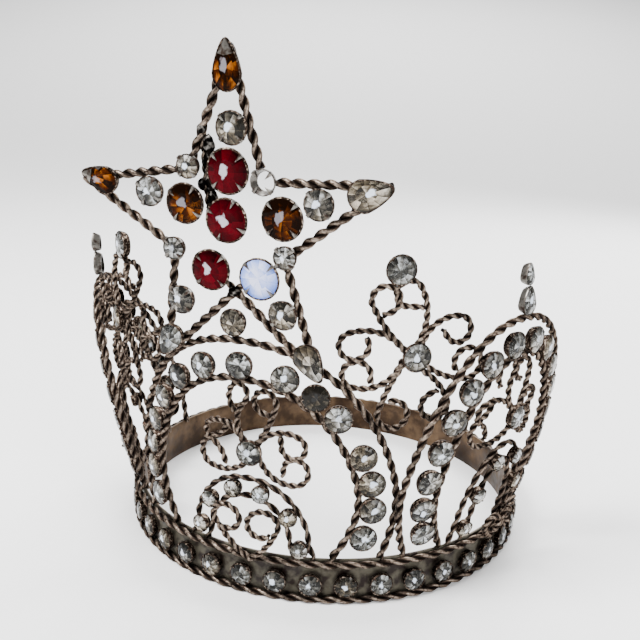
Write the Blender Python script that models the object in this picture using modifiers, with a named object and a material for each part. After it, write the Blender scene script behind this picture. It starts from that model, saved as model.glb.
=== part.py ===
"""A small ceremonial crown of twisted brass wire and paste stones, built at its real size in metres.

The crown stands on its band, +Z up, and its star faces -Y. Wires are laid out on panels: flat patterns
of (across, rise) that are wrapped round the band and lean outward from its top edge.
"""

from collections import namedtuple
from math import asin, atan2, cos, hypot, pi, radians, sin

import bmesh
import bpy
import numpy as np
from mathutils import Matrix, Vector

# Name, colour, roughness and metallic value of each material
BRASS = ("brass", (0.20, 0.13, 0.08), 0.5, 1.0)
CLEAR = ("clear_stone", (0.75, 0.76, 0.74), 0.1, 0.0)
RED = ("red_stone", (0.35, 0.01, 0.02), 0.1, 0.0)
AMBER = ("amber_stone", (0.45, 0.16, 0.02), 0.1, 0.0)
OPAL = ("opal_stone", (0.62, 0.70, 0.92), 0.2, 0.0)

# Band
BAND_RADIUS = 0.0545
BAND_HEIGHT = 0.0113
BAND_WALL = 0.0008
BAND_ROPE = 0.0014
BAND_STONE = 0.0058
BAND_STONE_PITCH = radians(8.8)
BAND_STONES_EACH_SIDE = 12
# How far the upper rope's centre lies under the band's edge
UPPER_ROPE_DROP = 0.00105

# Wire thickness, and the small distances between pieces
ARCH_ROPE = 0.0014
SCROLL_ROPE = 0.0011
STAR_ROPE = 0.0015
GAP = 0.0003
SOLDER = 0.0007
# Distance that a scroll's end stands over its start, so that it passes itself
SCROLL_LIFT = 0.0018
# Height of the wires' slanting feet over the band's edge
FOOT_RISE = 0.0006

# Stones and their settings
ROW_STONE = 0.0067
SMALL_STONE = 0.0045
SMALL_SETTING = 0.0018
FLEURON_STONE = 0.0065
COLLET = 0.0017
EMPTY_WALL = 0.0008
CROWN_RISE = 0.0009
# Shares of a stone's radius: its crown's slope, and how much narrower a pear's point is
CROWN_SLOPE = 0.4
PEAR_TAPER = 0.35

# Rows of stones between a pair of wires, measured between the wires' centre lines
ROW_WIDTH = 0.0090
SMALL_ROW_WIDTH = 0.0045

# Places of stones along their rows, as shares of the row
FRONT_ROW = (
    0.060, 0.115, 0.167, 0.222, 0.285, 0.355, 0.423, 0.497,
    0.579, 0.637, 0.690, 0.774, 0.827, 0.879, 0.936,
)
SIDE_ROW = tuple(np.linspace(0.062, 0.938, 16))
SMALL_ROW = (0.08, 0.26, 0.43, 0.58, 0.76, 0.95)

Horseshoe = namedtuple("Horseshoe", "foot widest belly apex")
Panel = namedtuple(
    "Panel",
    "name azimuth lean curl skew arch foot_spread row small_arch small_shift fleuron_shift",
)
# Distance up a panel at which curl and skew have their full value
BEND_REACH = 0.050
# Powers that shape a horseshoe's bow: how soon it narrows, and how soon it rises
BOW_NARROWS = 0.91
BOW_RISES = 1.25
# Place of a fleuron's centre, as a share of the room between the two arches
FLEURON_PLACE = 0.25

FRONT = Panel(
    name="front",
    azimuth=radians(2.0),
    lean=radians(3.0),
    curl=0.0,
    skew=0.0,
    arch=Horseshoe(foot=0.0330, widest=0.0362, belly=0.0150, apex=0.0517),
    foot_spread=0.0115,
    row=FRONT_ROW,
    small_arch=Horseshoe(foot=0.0159, widest=0.0146, belly=0.0040, apex=0.0182),
    small_shift=0.0012,
    fleuron_shift=0.0012,
)
RIGHT = Panel(
    name="right",
    azimuth=radians(70.0),
    lean=radians(17.5),
    curl=0.0065,
    skew=-0.0035,
    arch=Horseshoe(foot=0.0255, widest=0.0300, belly=0.0180, apex=0.0604),
    foot_spread=0.0100,
    row=SIDE_ROW,
    small_arch=Horseshoe(foot=0.0115, widest=0.0110, belly=0.0080, apex=0.0270),
    small_shift=-0.0010,
    fleuron_shift=0.0030,
)
LEFT = Panel(
    name="left",
    azimuth=radians(-70.0),
    lean=radians(18.5),
    curl=0.0054,
    skew=0.0050,
    arch=Horseshoe(foot=0.0255, widest=0.0300, belly=0.0180, apex=0.0562),
    foot_spread=0.0100,
    row=SIDE_ROW,
    small_arch=Horseshoe(foot=0.0115, widest=0.0110, belly=0.0080, apex=0.0260),
    small_shift=0.0010,
    fleuron_shift=-0.0030,
)
PANELS = (FRONT, RIGHT, LEFT)

# Scrolls: a start, a heading in degrees and arcs of (length, turn in degrees), all lengths as hundredths
# of the ornament's own size
Scroll = namedtuple("Scroll", "start heading arcs")
FLEURON = (
    Scroll((8, 9), 58, ((46, -90), (61, -224))),
    Scroll((9, -6), -74, ((48, 78), (67, 248))),
    Scroll((-9, 10), 120, ((46, 90), (26, 124), (28, -64))),
    Scroll((-3, -11), -134, ((51, -57), (38, -152), (33, 50))),
    Scroll((-8, 12), 135, ((40, -90), (32, 182), (30, 90))),
    Scroll((9, 13), 54, ((37, 21), (65, 271))),
)
# The heart's size, as a share of the small arch's half width inside
HEART_SHARE = 1.90
HEART = (
    Scroll((8, -7), 144, ((63, -24), (54, -174), (40, -156))),
    Scroll((8, -7), 39, ((60, 31), (63, 203), (36, 132))),
)
SHOULDER_FLEURON = (
    Scroll((-8, 5), 139, ((38, -23), (50, -275))),
    Scroll((1, 9), 61, ((41, 60), (37, 239), (10, -6))),
    Scroll((-9, 5), 126, ((40, 76), (49, 274))),
    Scroll((-9, -4), -103, ((41, -90), (48, -248))),
    Scroll((4, 8), 81, ((37, -90), (44, -232))),
    Scroll((7, -6), -40, ((35, 40), (43, 219), (15, 90))),
    Scroll((4, -9), -28, ((33, -37), (53, -277))),
    Scroll((-8, -6), -120, ((37, 15), (55, 315))),
)
SHOULDER_SIZE = 0.0320
SHOULDER_AZIMUTH = radians(40.0)
SHOULDER_RISE = 0.0508
SHOULDER_DROP_LEFT = 0.0020
SHOULDER_CONTACTS = (-0.0079, 0.0140)
SHOULDER_STONES = (((0, 0), 0.0067), ((-15, 60), 0.0068))

# Star: the height of its low right tip, and its corners from the top tip clockwise, as (degrees from its
# right, share of its radius)
STAR_RADIUS = 0.0380
STAR_FOOT = 0.05785
STAR_LEAN = radians(5.0)
STAR_SHIFT = -0.0017
STAR_STANDOFF = 0.0012
STAR_CORNERS = (
    (89, 0.97), (55, 0.35), (19, 0.95), (-22, 0.34), (-57, 0.94),
    (-88, 0.34), (-120, 0.91), (-161, 0.39), (166, 0.97), (127, 0.42),
)
# Wires behind the stones, as (across, up) hundredths of the star's radius
STAR_BRACES = (
    ((-16, 55), (-15, 30), (-14, 12)),
    ((1, -34), (-8, -26), (-12, -24)),
    ((1, -34), (8, -28), (15, -27)),
)
# Places are hundredths of the star's radius too. The stone in brass is missing, and its setting is left.
StarStone = namedtuple("StarStone", "name kind place width length turn")
STAR_STONES = (
    StarStone("star_red_top", RED, (2.1, 34.2), 0.0097, 0.0097, 0),
    StarStone("star_red_middle", RED, (0.5, 7.6), 0.0097, 0.0097, 20),
    StarStone("star_red_low", RED, (-10.5, -21.3), 0.0092, 0.0092, 0),
    StarStone("star_amber_left", AMBER, (-25.0, 15.0), 0.0089, 0.0089, 10),
    StarStone("star_amber_right", AMBER, (33.7, 11.1), 0.0093, 0.0093, 0),
    StarStone("star_opal", OPAL, (19.5, -23.4), 0.0093, 0.0093, 0),
    StarStone("star_clear_top", CLEAR, (5.0, 56.8), 0.0070, 0.0070, 0),
    StarStone("star_clear_left", CLEAR, (-47.6, 20.0), 0.0066, 0.0066, 15),
    StarStone("star_clear_right", CLEAR, (54.2, 20.3), 0.0066, 0.0066, 0),
    StarStone("star_clear_low_left", CLEAR, (-30.8, -41.3), 0.0066, 0.0066, 0),
    StarStone("star_clear_low_right", CLEAR, (33.2, -42.6), 0.0066, 0.0066, 0),
    StarStone("star_notch_upper_left", CLEAR, (-22.4, 35.3), 0.0052, 0.0052, 0),
    StarStone("star_notch_upper_right", BRASS, (22.6, 29.7), 0.0056, 0.0056, 0),
    StarStone("star_notch_left", CLEAR, (-33.7, -11.3), 0.0052, 0.0052, 0),
    StarStone("star_notch_right", CLEAR, (34.7, -10.0), 0.0052, 0.0052, 0),
    StarStone("star_pear_top", AMBER, (3.2, 87.9), 0.0064, 0.0102, 0),
    StarStone("star_pear_right", CLEAR, (82.1, 27.9), 0.0068, 0.0098, -72),
    StarStone("star_pear_low_right", CLEAR, (49.5, -68.9), 0.0066, 0.0092, -147),
    StarStone("star_pear_low_left", CLEAR, (-40.5, -67.9), 0.0060, 0.0084, 150),
    StarStone("star_pear_left", AMBER, (-80.3, 25.0), 0.0062, 0.0092, 76),
)
CREST_STONE = 0.0064

# Two stones that stand on each side arch
FINIAL_PEAR = (0.0050, 0.0068)
FINIAL_DROP = (0.0034, 0.0052)

# Fineness: sides and steps of round forms, points along wires, and the most a scroll turns at one point
BAND_STEPS = 44
ROPE_STEPS = 40
ROPE_SIDES = 4
STONE_SIDES = 8
ROW_SIDES = 6
ARCH_POINTS = 17
SMALL_ARCH_POINTS = 9
STEP_TURN = 55.0
SMOOTH_ANGLE = radians(40)


def material(kind):
    """The material of this kind, made on first use."""
    name, colour, roughness, metallic = kind
    if name not in bpy.data.materials:
        made = bpy.data.materials.new(name)
        made.use_nodes = True
        shader = made.node_tree.nodes["Principled BSDF"]
        shader.inputs["Base Color"].default_value = (*colour, 1.0)
        shader.inputs["Roughness"].default_value = roughness
        shader.inputs["Metallic"].default_value = metallic
    return bpy.data.materials[name]


# Panels


def surface_radius(panel, rise):
    """Distance from the crown's axis to the panel's wires, where they stand this far above the band."""
    return BAND_RADIUS - BAND_WALL / 2 + rise * sin(panel.lean) - panel.curl * (rise / BEND_REACH) ** 2


def place_on(panel, across, rise, proud=0.0):
    """The matrix of a point on a panel: local X runs along the band and local Z points outward."""
    radius = surface_radius(panel, rise)
    angle = panel.azimuth + (across + panel.skew * rise / BEND_REACH) / radius
    slope = panel.lean - 2 * panel.curl * rise / BEND_REACH**2
    outward = Vector((sin(angle) * cos(slope), -cos(angle) * cos(slope), -sin(slope)))
    along = Vector((cos(angle), sin(angle), 0.0))
    height = BAND_HEIGHT + FOOT_RISE + rise * cos(panel.lean)
    spot = Vector((radius * sin(angle), -radius * cos(angle), height)) + outward * proud
    return Matrix.Translation(spot) @ axes(along, outward)


def axes(along, outward):
    upward = outward.cross(along)
    return Matrix((along, upward, outward)).transposed().to_4x4()


def shoulder_matrix(side, across, rise, proud=0.0):
    """A point on the surface that a shoulder fleuron spans, from before the front arch to behind the side arch."""
    layer = (ARCH_ROPE + SCROLL_ROPE) / 2 + GAP
    neighbour = RIGHT if side > 0 else LEFT
    near, far = SHOULDER_CONTACTS
    share = (across - near) / (far - near)
    radius = (surface_radius(FRONT, rise) + layer) * (1 - share)
    radius += (surface_radius(neighbour, rise) - layer) * share + proud
    angle = side * (SHOULDER_AZIMUTH + across / radius)
    outward = Vector((sin(angle), -cos(angle), 0.0))
    along = Vector((cos(angle), sin(angle), 0.0))
    spot = outward * radius + Vector((0.0, 0.0, BAND_HEIGHT + FOOT_RISE + rise))
    return Matrix.Translation(spot) @ axes(along, outward)


# Paths


def horseshoe(shape):
    """A fine path of (across, rise) from the left foot over the apex to the right foot."""
    leg = [
        (shape.widest - (shape.widest - shape.foot) * (1 - share) ** 2, shape.belly * share)
        for share in np.linspace(0, 1, 40, endpoint=False)
    ]
    bow = [
        (
            shape.widest * cos(angle) ** BOW_NARROWS,
            shape.belly + (shape.apex - shape.belly) * sin(angle) ** BOW_RISES,
        )
        for angle in np.linspace(0, pi / 2, 160)
    ]
    right = np.array(leg + bow)
    return np.vstack([right * [-1, 1], right[::-1][1:]])


def inset(shape, foot_spread, width):
    """The horseshoe of the inner wire, a row's width inside the outer one."""
    return Horseshoe(shape.foot - foot_spread, shape.widest - width, shape.belly, shape.apex - width)


def offset(path, distance):
    """A path at this distance to the left of another one's direction."""
    run = np.gradient(path, axis=0)
    run /= np.hypot(run[:, 0], run[:, 1])[:, None]
    return path + distance * np.stack([-run[:, 1], run[:, 0]], axis=1)


def along_path(path, shares, values=None):
    """The path's points, or other values kept at its points, at these shares of its length."""
    values = path if values is None else values
    steps = np.hypot(*np.diff(path, axis=0).T)
    length = np.concatenate([[0], np.cumsum(steps)])
    at = np.array(shares) * length[-1]
    return np.stack([np.interp(at, length, column) for column in values.T], axis=1)


def walk(scroll, size, lift=0.0, root=0.0):
    """Points (across, rise, proud) along a chain of arcs, whose end stands over the start by the lift.

    A root is the distance from the middle at which the wire is held under its stone.
    """
    x, y = scroll.start[0] * size / 100, scroll.start[1] * size / 100
    heading = radians(scroll.heading)
    whole = sum(length for length, turn in scroll.arcs)
    gone = 0.0
    points = [(x, y, 0.0)]
    if root:
        points.insert(0, (x * root / hypot(x, y), y * root / hypot(x, y), 0.0))
    for length, turn in scroll.arcs:
        count = max(1, round(abs(turn) / STEP_TURN))
        step = length * size / 100 / count
        bend = radians(turn) / count
        for _ in range(count):
            x += step * cos(heading + bend / 2)
            y += step * sin(heading + bend / 2)
            heading += bend
            gone += length / count
            points.append((x, y, lift * gone / whole))
    return points


# Solids


def mesh_object(name, mesh, kind):
    made = bpy.data.objects.new(name, mesh)
    mesh.materials.clear()
    mesh.materials.append(material(kind))
    bpy.context.scene.collection.objects.link(made)
    return made


def wire(points, thickness):
    """A closed tube through these points, as a mesh object."""
    curve = bpy.data.curves.new("wire", "CURVE")
    curve.dimensions = "3D"
    curve.bevel_depth = thickness / 2
    curve.bevel_resolution = 0
    curve.use_fill_caps = True
    spline = curve.splines.new("POLY")
    spline.points.add(len(points) - 1)
    for knot, point in zip(spline.points, points):
        knot.co = (*point, 1.0)
    guide = bpy.data.objects.new("wire", curve)
    bpy.context.scene.collection.objects.link(guide)
    graph = bpy.context.evaluated_depsgraph_get()
    mesh = bpy.data.meshes.new_from_object(guide.evaluated_get(graph))
    bpy.data.objects.remove(guide)
    shape = bmesh.new()
    shape.from_mesh(mesh)
    bmesh.ops.remove_doubles(shape, verts=shape.verts, dist=1e-6)
    bmesh.ops.recalc_face_normals(shape, faces=shape.faces)
    shape.to_mesh(mesh)
    shape.free()
    return mesh_object("wire", mesh, BRASS)


def setting_shape(width, height, sides):
    """A round setting that stands on the local XY plane."""
    shape = bmesh.new()
    bmesh.ops.create_cone(
        shape, cap_ends=True, segments=sides, radius1=width / 2, radius2=width / 2, depth=height
    )
    bmesh.ops.translate(shape, verts=shape.verts, vec=(0, 0, height / 2))
    return shape


def row_stone(matrix, width, setting=COLLET):
    """One of a row of small stones in its setting, with the crown levelled to half its rise."""
    shape = setting_shape(width, setting + CROWN_RISE / 2, ROW_SIDES)
    return shape_object("row_stone", shape, matrix, CLEAR)


def stone(matrix, width, length=None, kind=CLEAR, name="stone"):
    """A stone in its setting, with a sloping crown to a flat table.

    A stone longer than it is wide is a pear, with its point along local +Y.
    """
    shape = setting_shape(width, COLLET, STONE_SIDES)
    radius = width / 2
    table = max(shape.faces, key=lambda face: face.calc_center_median().z)
    bmesh.ops.inset_region(shape, faces=[table], thickness=radius * CROWN_SLOPE, depth=CROWN_RISE)
    if length:
        stretch_to_pear(shape, radius, length)
    return shape_object(name, shape, matrix, kind)


def shape_object(name, shape, matrix, kind):
    mesh = bpy.data.meshes.new(name)
    shape.to_mesh(mesh)
    shape.free()
    mesh.transform(matrix)
    return mesh_object(name, mesh, kind)


def stretch_to_pear(shape, radius, length):
    """Draws the upper half of a round shape out to a point, and centres it."""
    reach = (length - radius) / radius
    for vert in shape.verts:
        share = max(vert.co.y, 0.0) / radius
        vert.co.x *= 1 - PEAR_TAPER * share
        vert.co.y *= 1 + (reach - 1) * (vert.co.y > 0)
        vert.co.y -= (length - 2 * radius) / 2


def named(made, name):
    made.name = name
    made.data.name = name
    made.data.shade_smooth()
    return made


def fuse(name, pieces):
    """Joins overlapping pieces into one closed body."""
    body, others = pieces[0], pieces[1:]
    body.name = name
    helpers = bpy.data.collections.new("joined into " + name)
    for other in others:
        helpers.objects.link(other)
    union = body.modifiers.new("union", "BOOLEAN")
    union.operation = "UNION"
    union.operand_type = "COLLECTION"
    union.collection = helpers
    bpy.context.view_layer.update()
    graph = bpy.context.evaluated_depsgraph_get()
    joined = bpy.data.meshes.new_from_object(body.evaluated_get(graph))
    joined.name = name
    body.modifiers.remove(union)
    body.data = joined
    for other in others:
        bpy.data.objects.remove(other)
    bpy.data.collections.remove(helpers)
    joined.shade_smooth()
    joined.set_sharp_from_angle(angle=SMOOTH_ANGLE)
    return body


# Pieces


def sheet_ring(name, radius, wall, height, steps):
    """A ring of sheet that stands on the local XY plane."""
    mesh = bpy.data.meshes.new(name)
    corners = ((radius, height), (radius, 0), (radius - wall, 0), (radius - wall, height))
    edges = ((0, 1), (1, 2), (2, 3), (3, 0))
    mesh.from_pydata([(x, 0, z) for x, z in corners], edges, [])
    ring = mesh_object(name, mesh, BRASS)
    turn = ring.modifiers.new("turn", "SCREW")
    turn.steps = steps
    turn.render_steps = steps
    turn.use_merge_vertices = True
    turn.merge_threshold = 1e-5
    graph = bpy.context.evaluated_depsgraph_get()
    turned = bpy.data.meshes.new_from_object(ring.evaluated_get(graph))
    bpy.data.objects.remove(ring)
    return mesh_object(name, turned, BRASS)


def band():
    """The plain sheet ring, with its row of stones round the front and sides."""
    pieces = [sheet_ring("band", BAND_RADIUS, BAND_WALL, BAND_HEIGHT, BAND_STEPS)]
    height = GAP + BAND_ROPE + GAP + BAND_STONE / 2
    for count in range(-BAND_STONES_EACH_SIDE, BAND_STONES_EACH_SIDE + 1):
        angle = FRONT.azimuth + count * BAND_STONE_PITCH
        outward = Vector((sin(angle), -cos(angle), 0.0))
        along = Vector((cos(angle), sin(angle), 0.0))
        spot = outward * (BAND_RADIUS - BAND_WALL / 2) + Vector((0, 0, height))
        pieces.append(row_stone(Matrix.Translation(spot) @ axes(along, outward), BAND_STONE))
    return fuse("band", pieces)


def band_rope(name, height):
    bpy.ops.mesh.primitive_torus_add(
        major_radius=BAND_RADIUS + GAP + BAND_ROPE / 2,
        minor_radius=BAND_ROPE / 2,
        major_segments=ROPE_STEPS,
        minor_segments=ROPE_SIDES,
        location=(0, 0, height),
    )
    made = bpy.context.object
    made.data.materials.append(material(BRASS))
    return named(made, name)


def panel_wire(panel, path, count, thickness, shift=0.0):
    points = along_path(path, np.linspace(0, 1, count))
    spots = [place_on(panel, across + shift, rise).translation for across, rise in points]
    return wire(spots, thickness)


def arch_wire(panel):
    """The outer wire of the tall horseshoe."""
    made = panel_wire(panel, horseshoe(panel.arch), ARCH_POINTS, ARCH_ROPE)
    return named(made, panel.name + "_arch_wire")


def stone_row(panel):
    """The inner wire of the tall horseshoe, with the row of stones soldered to it."""
    inner = horseshoe(inset(panel.arch, panel.foot_spread, ROW_WIDTH))
    pieces = [panel_wire(panel, inner, ARCH_POINTS, ARCH_ROPE)]
    row = offset(inner, (ROW_STONE + ARCH_ROPE) / 2 - SOLDER)
    runs = np.gradient(row, axis=0)
    for spot, run in zip(along_path(row, panel.row), along_path(row, panel.row, runs)):
        to_wire = Matrix.Rotation(atan2(run[1], run[0]), 4, "Z")
        pieces.append(row_stone(place_on(panel, *spot, -ARCH_ROPE / 2) @ to_wire, ROW_STONE))
    return fuse(panel.name + "_stone_row", pieces)


def small_arch(panel):
    """The low horseshoe in the arch's opening, its stones in deep settings that stand out."""
    outer = horseshoe(panel.small_arch)
    inner = horseshoe(inset(panel.small_arch, SMALL_ROW_WIDTH, SMALL_ROW_WIDTH))
    pieces = [
        panel_wire(panel, outer, SMALL_ARCH_POINTS, SCROLL_ROPE, shift=panel.small_shift),
        panel_wire(panel, inner, SMALL_ARCH_POINTS, SCROLL_ROPE, shift=panel.small_shift),
    ]
    for across, rise in along_path((outer + inner) / 2, SMALL_ROW):
        spot = place_on(panel, across + panel.small_shift, rise, 0.0)
        pieces.append(row_stone(spot, SMALL_STONE, SMALL_SETTING))
    return fuse(panel.name + "_small_arch", pieces)


def fleuron_rise(panel):
    """The rise of the fleuron's centre, and its size, from the room between the two arches."""
    room = panel.arch.apex - ROW_WIDTH - panel.small_arch.apex
    return panel.small_arch.apex + FLEURON_PLACE * room, room


def fleuron(panel):
    """Six scrolls round a stone, soldered behind the arches' wires."""
    centre, size = fleuron_rise(panel)
    depth = -(ARCH_ROPE + SCROLL_ROPE) / 2 - GAP
    pieces = [stone(place_on(panel, panel.fleuron_shift, centre, depth - SCROLL_ROPE / 2), FLEURON_STONE)]
    for scroll in FLEURON:
        spots = [
            place_on(panel, panel.fleuron_shift + across, centre + rise, depth - proud).translation
            for across, rise, proud in walk(scroll, size, SCROLL_LIFT, FLEURON_STONE / 4)
        ]
        pieces.append(wire(spots, SCROLL_ROPE))
    return fuse(panel.name + "_fleuron", pieces)


def heart(panel):
    """Two scrolls inside the small arch, that rise from one foot in front of the upper rope."""
    size = (panel.small_arch.widest - SMALL_ROW_WIDTH) * HEART_SHARE
    front = BAND_WALL / 2 + GAP + BAND_ROPE + GAP + SCROLL_ROPE / 2
    pieces = []
    for scroll in HEART:
        spots = [
            place_on(panel, panel.small_shift + across, rise, front + proud).translation
            for across, rise, proud in walk(scroll, size, SCROLL_LIFT)
        ]
        pieces.append(wire(spots, SCROLL_ROPE))
    return fuse(panel.name + "_heart", pieces)


def shoulder_fleuron(name, side, rise_centre):
    """Eight scrolls round a stone, between the front arch and a side arch, with a stone on top."""
    depth = -SCROLL_ROPE / 2
    pieces = []
    for (across, rise), width in SHOULDER_STONES:
        spot = (across * SHOULDER_SIZE / 100, rise_centre + rise * SHOULDER_SIZE / 100)
        pieces.append(stone(shoulder_matrix(side, *spot, depth), width))
    for scroll in SHOULDER_FLEURON:
        spots = [
            shoulder_matrix(side, across, rise_centre + rise).translation
            for across, rise, proud in walk(scroll, SHOULDER_SIZE, root=SHOULDER_STONES[0][1] / 4)
        ]
        pieces.append(wire(spots, SCROLL_ROPE))
    return fuse(name, pieces)


def width_at(shape, rise):
    """Half the width of a horseshoe at this rise, above its widest place."""
    share = (rise - shape.belly) / (shape.apex - shape.belly)
    return shape.widest * cos(asin(share ** (1 / BOW_RISES))) ** BOW_NARROWS


def star_reach():
    """Distance of the star's low right tip below its centre, along its plane."""
    degrees, share = STAR_CORNERS[4]
    return share * STAR_RADIUS * sin(radians(-degrees))


def star_distance():
    """Distance of the star's centre in front of the axis, so that its low tips lie on the front arch's wire."""
    rise = (STAR_FOOT - BAND_HEIGHT - FOOT_RISE) / cos(FRONT.lean)
    wire_spot = place_on(FRONT, width_at(FRONT.arch, rise), rise).translation
    forward = Vector((sin(FRONT.azimuth), -cos(FRONT.azimuth), 0.0))
    contact = wire_spot.dot(forward) + (ARCH_ROPE + STAR_ROPE) / 2 + STAR_STANDOFF
    return contact + star_reach() * sin(STAR_LEAN)


def star_matrix(across, up, proud=0.0, turn=0.0):
    """A point on the star's plane, which leans outward and faces the way the front panel does."""
    turned = FRONT.azimuth
    forward = Vector((sin(turned), -cos(turned), 0.0))
    along = Vector((cos(turned), sin(turned), 0.0))
    outward = forward * cos(STAR_LEAN) - Vector((0, 0, sin(STAR_LEAN)))
    upward = outward.cross(along)
    spot = forward * star_distance() + Vector((0, 0, STAR_FOOT + star_reach() * cos(STAR_LEAN)))
    spot += along * (STAR_SHIFT + across) + upward * up + outward * proud
    return Matrix.Translation(spot) @ axes(along, outward) @ Matrix.Rotation(radians(turn), 4, "Z")


def star_frame():
    """Ten lengths of twisted wire from corner to corner, with the wires behind the stones."""
    corners = [
        Vector((cos(radians(degrees)), sin(radians(degrees)))) * share * STAR_RADIUS
        for degrees, share in STAR_CORNERS
    ]
    pieces = []
    for start, end in zip(corners, corners[1:] + corners[:1]):
        past = (end - start).normalized() * STAR_ROPE / 4
        spots = [star_matrix(*spot).translation for spot in (start - past, end + past)]
        pieces.append(wire(spots, STAR_ROPE))
    for brace in STAR_BRACES:
        spots = [
            star_matrix(across * STAR_RADIUS / 100, up * STAR_RADIUS / 100).translation
            for across, up in brace
        ]
        pieces.append(wire(spots, SCROLL_ROPE))
    return fuse("star_frame", pieces)


def star_stones():
    """Each stone of the star stands in its setting just in front of the wires."""
    back = STAR_ROPE / 2 + GAP
    made = []
    for name, kind, (across, up), width, length, turn in STAR_STONES:
        spot = star_matrix(across * STAR_RADIUS / 100, up * STAR_RADIUS / 100, back, turn)
        if kind is BRASS:
            empty = sheet_ring(name, width / 2, EMPTY_WALL, COLLET, STONE_SIDES)
            empty.data.transform(spot)
            made.append(named(empty, name))
            continue
        made.append(stone(spot, width, length if length > width else None, kind=kind, name=name))
    return made


def crest_stone():
    """The stone under the star, standing on the top of the front arch."""
    rise = FRONT.arch.apex + ARCH_ROPE / 2 + GAP + CREST_STONE / 2
    spot = place_on(FRONT, STAR_SHIFT, rise, -ARCH_ROPE / 2)
    return stone(spot, CREST_STONE, name="crest_stone")


def finial(panel):
    """A pear and a drop, one over the other, on the top of a side arch."""
    wide, tall = FINIAL_PEAR
    rise = panel.arch.apex + ARCH_ROPE / 2 + GAP
    pear = stone(
        place_on(panel, 0, rise + tall / 2, -ARCH_ROPE / 2), wide, tall, name=panel.name + "_finial_pear"
    )
    rise += tall + GAP
    wide, tall = FINIAL_DROP
    drop = stone(
        place_on(panel, 0, rise + tall / 2, -ARCH_ROPE / 2), wide, tall, name=panel.name + "_finial_drop"
    )
    return [pear, drop]


def main():
    for old in list(bpy.data.objects):
        bpy.data.objects.remove(old)
    parts = [
        band(),
        band_rope("lower_rope", GAP + BAND_ROPE / 2),
        band_rope("upper_rope", BAND_HEIGHT - UPPER_ROPE_DROP),
    ]
    for panel in PANELS:
        parts += [arch_wire(panel), stone_row(panel), small_arch(panel), fleuron(panel), heart(panel)]
    parts.append(shoulder_fleuron("right_shoulder_fleuron", 1, SHOULDER_RISE))
    parts.append(shoulder_fleuron("left_shoulder_fleuron", -1, SHOULDER_RISE - SHOULDER_DROP_LEFT))
    parts += [star_frame(), *star_stones(), crest_stone(), *finial(RIGHT), *finial(LEFT)]

    crown = bpy.data.objects.new("crown", None)
    gathered = bpy.data.collections.new("ceremonial crown")
    bpy.context.scene.collection.children.link(gathered)
    gathered.objects.link(crown)
    for part in parts:
        for old in list(part.users_collection):
            old.objects.unlink(part)
        gathered.objects.link(part)
        part.parent = crown
    bpy.context.view_layer.update()
    corners = np.array([part.matrix_world @ Vector(corner) for part in parts for corner in part.bound_box])
    middle = (corners.min(axis=0) + corners.max(axis=0)) / 2
    crown.location = (-middle[0], -middle[1], 0.0)


main()
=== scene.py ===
"""Dresses a small ceremonial crown: twisted brass wire, paste stones in collets, patina, floor and light.

The crown stands on its band, +Z up, and its star faces -Y. Lengths are metres.
"""

from collections import namedtuple
from functools import partial
from math import asin, atan2, cos, hypot, pi, radians, sin

import bmesh
import bpy
import numpy as np
from mathutils import Matrix, Vector

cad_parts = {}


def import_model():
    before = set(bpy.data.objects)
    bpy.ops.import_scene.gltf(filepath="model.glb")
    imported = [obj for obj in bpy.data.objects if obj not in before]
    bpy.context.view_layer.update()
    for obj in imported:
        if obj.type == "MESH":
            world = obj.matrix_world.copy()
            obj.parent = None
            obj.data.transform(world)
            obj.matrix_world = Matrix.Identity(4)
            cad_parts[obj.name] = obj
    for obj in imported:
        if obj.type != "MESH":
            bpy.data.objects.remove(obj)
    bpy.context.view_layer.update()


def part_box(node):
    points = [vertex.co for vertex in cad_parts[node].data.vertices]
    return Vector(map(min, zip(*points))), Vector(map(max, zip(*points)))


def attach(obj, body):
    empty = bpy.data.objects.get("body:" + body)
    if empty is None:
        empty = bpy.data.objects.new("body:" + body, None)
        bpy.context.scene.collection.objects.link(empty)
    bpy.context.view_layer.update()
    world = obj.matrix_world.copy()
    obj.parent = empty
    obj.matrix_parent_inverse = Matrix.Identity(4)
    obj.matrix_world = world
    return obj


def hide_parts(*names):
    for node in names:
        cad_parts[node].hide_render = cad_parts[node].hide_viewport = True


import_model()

bl_info = {
    "name": "Ceremonial crown",
    "version": (1, 0, 0),
    "blender": (4, 5, 0),
    "location": "3D View > Sidebar > Crown",
    "description": "Twisted wire, set stones and patina for a small crown",
    "category": "Object",
}

# The crown's own axis, which the star moves away from the middle of the whole
rope_low, rope_high = (Vector(corner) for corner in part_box("upper_rope"))
AXIS = Vector(((rope_low.x + rope_high.x) / 2, (rope_low.y + rope_high.y) / 2, 0.0))

# Band
BAND_RADIUS = 0.0545
BAND_HEIGHT = 0.0113
BAND_WALL = 0.0008
BAND_ROPE = 0.0014
BAND_STONE = 0.0058
BAND_STONE_PITCH = radians(8.8)
BAND_STONES_EACH_SIDE = 12
UPPER_ROPE_DROP = 0.00105
# The ring's steps round, the sheet's cuts, its edge's rounding as a share of the wall, and its bends' scale
RING_STEPS = 240
SHEET_CUTS = 4
SHEET_ROUNDING = 0.4
SHEET_BENDS = 45.0

# Wires
ARCH_ROPE = 0.0014
SCROLL_ROPE = 0.0011
STAR_ROPE = 0.0015
# Clearance between pieces that lie close together
GAP = 0.0003
# How far a row's stones run into the wire that holds them
SOLDER = 0.0007
SCROLL_LIFT = 0.0018
FOOT_RISE = 0.0006
# How far a wire's foot runs down into the band's edge
FOOT_SINK = 0.0014
# How much wider a twisted wire's lobes are than its middle thickness
LOBES = 1.46
BAND_LOBES = 1.32
# A strand's radius and distance from the middle as shares of the twisted wire, its sides, and its
# steps along one full turn
STRAND_RADIUS = 0.27
STRAND_REACH = 0.23
STRAND_SIDES = 7
STEPS_PER_TURN = 11

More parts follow.
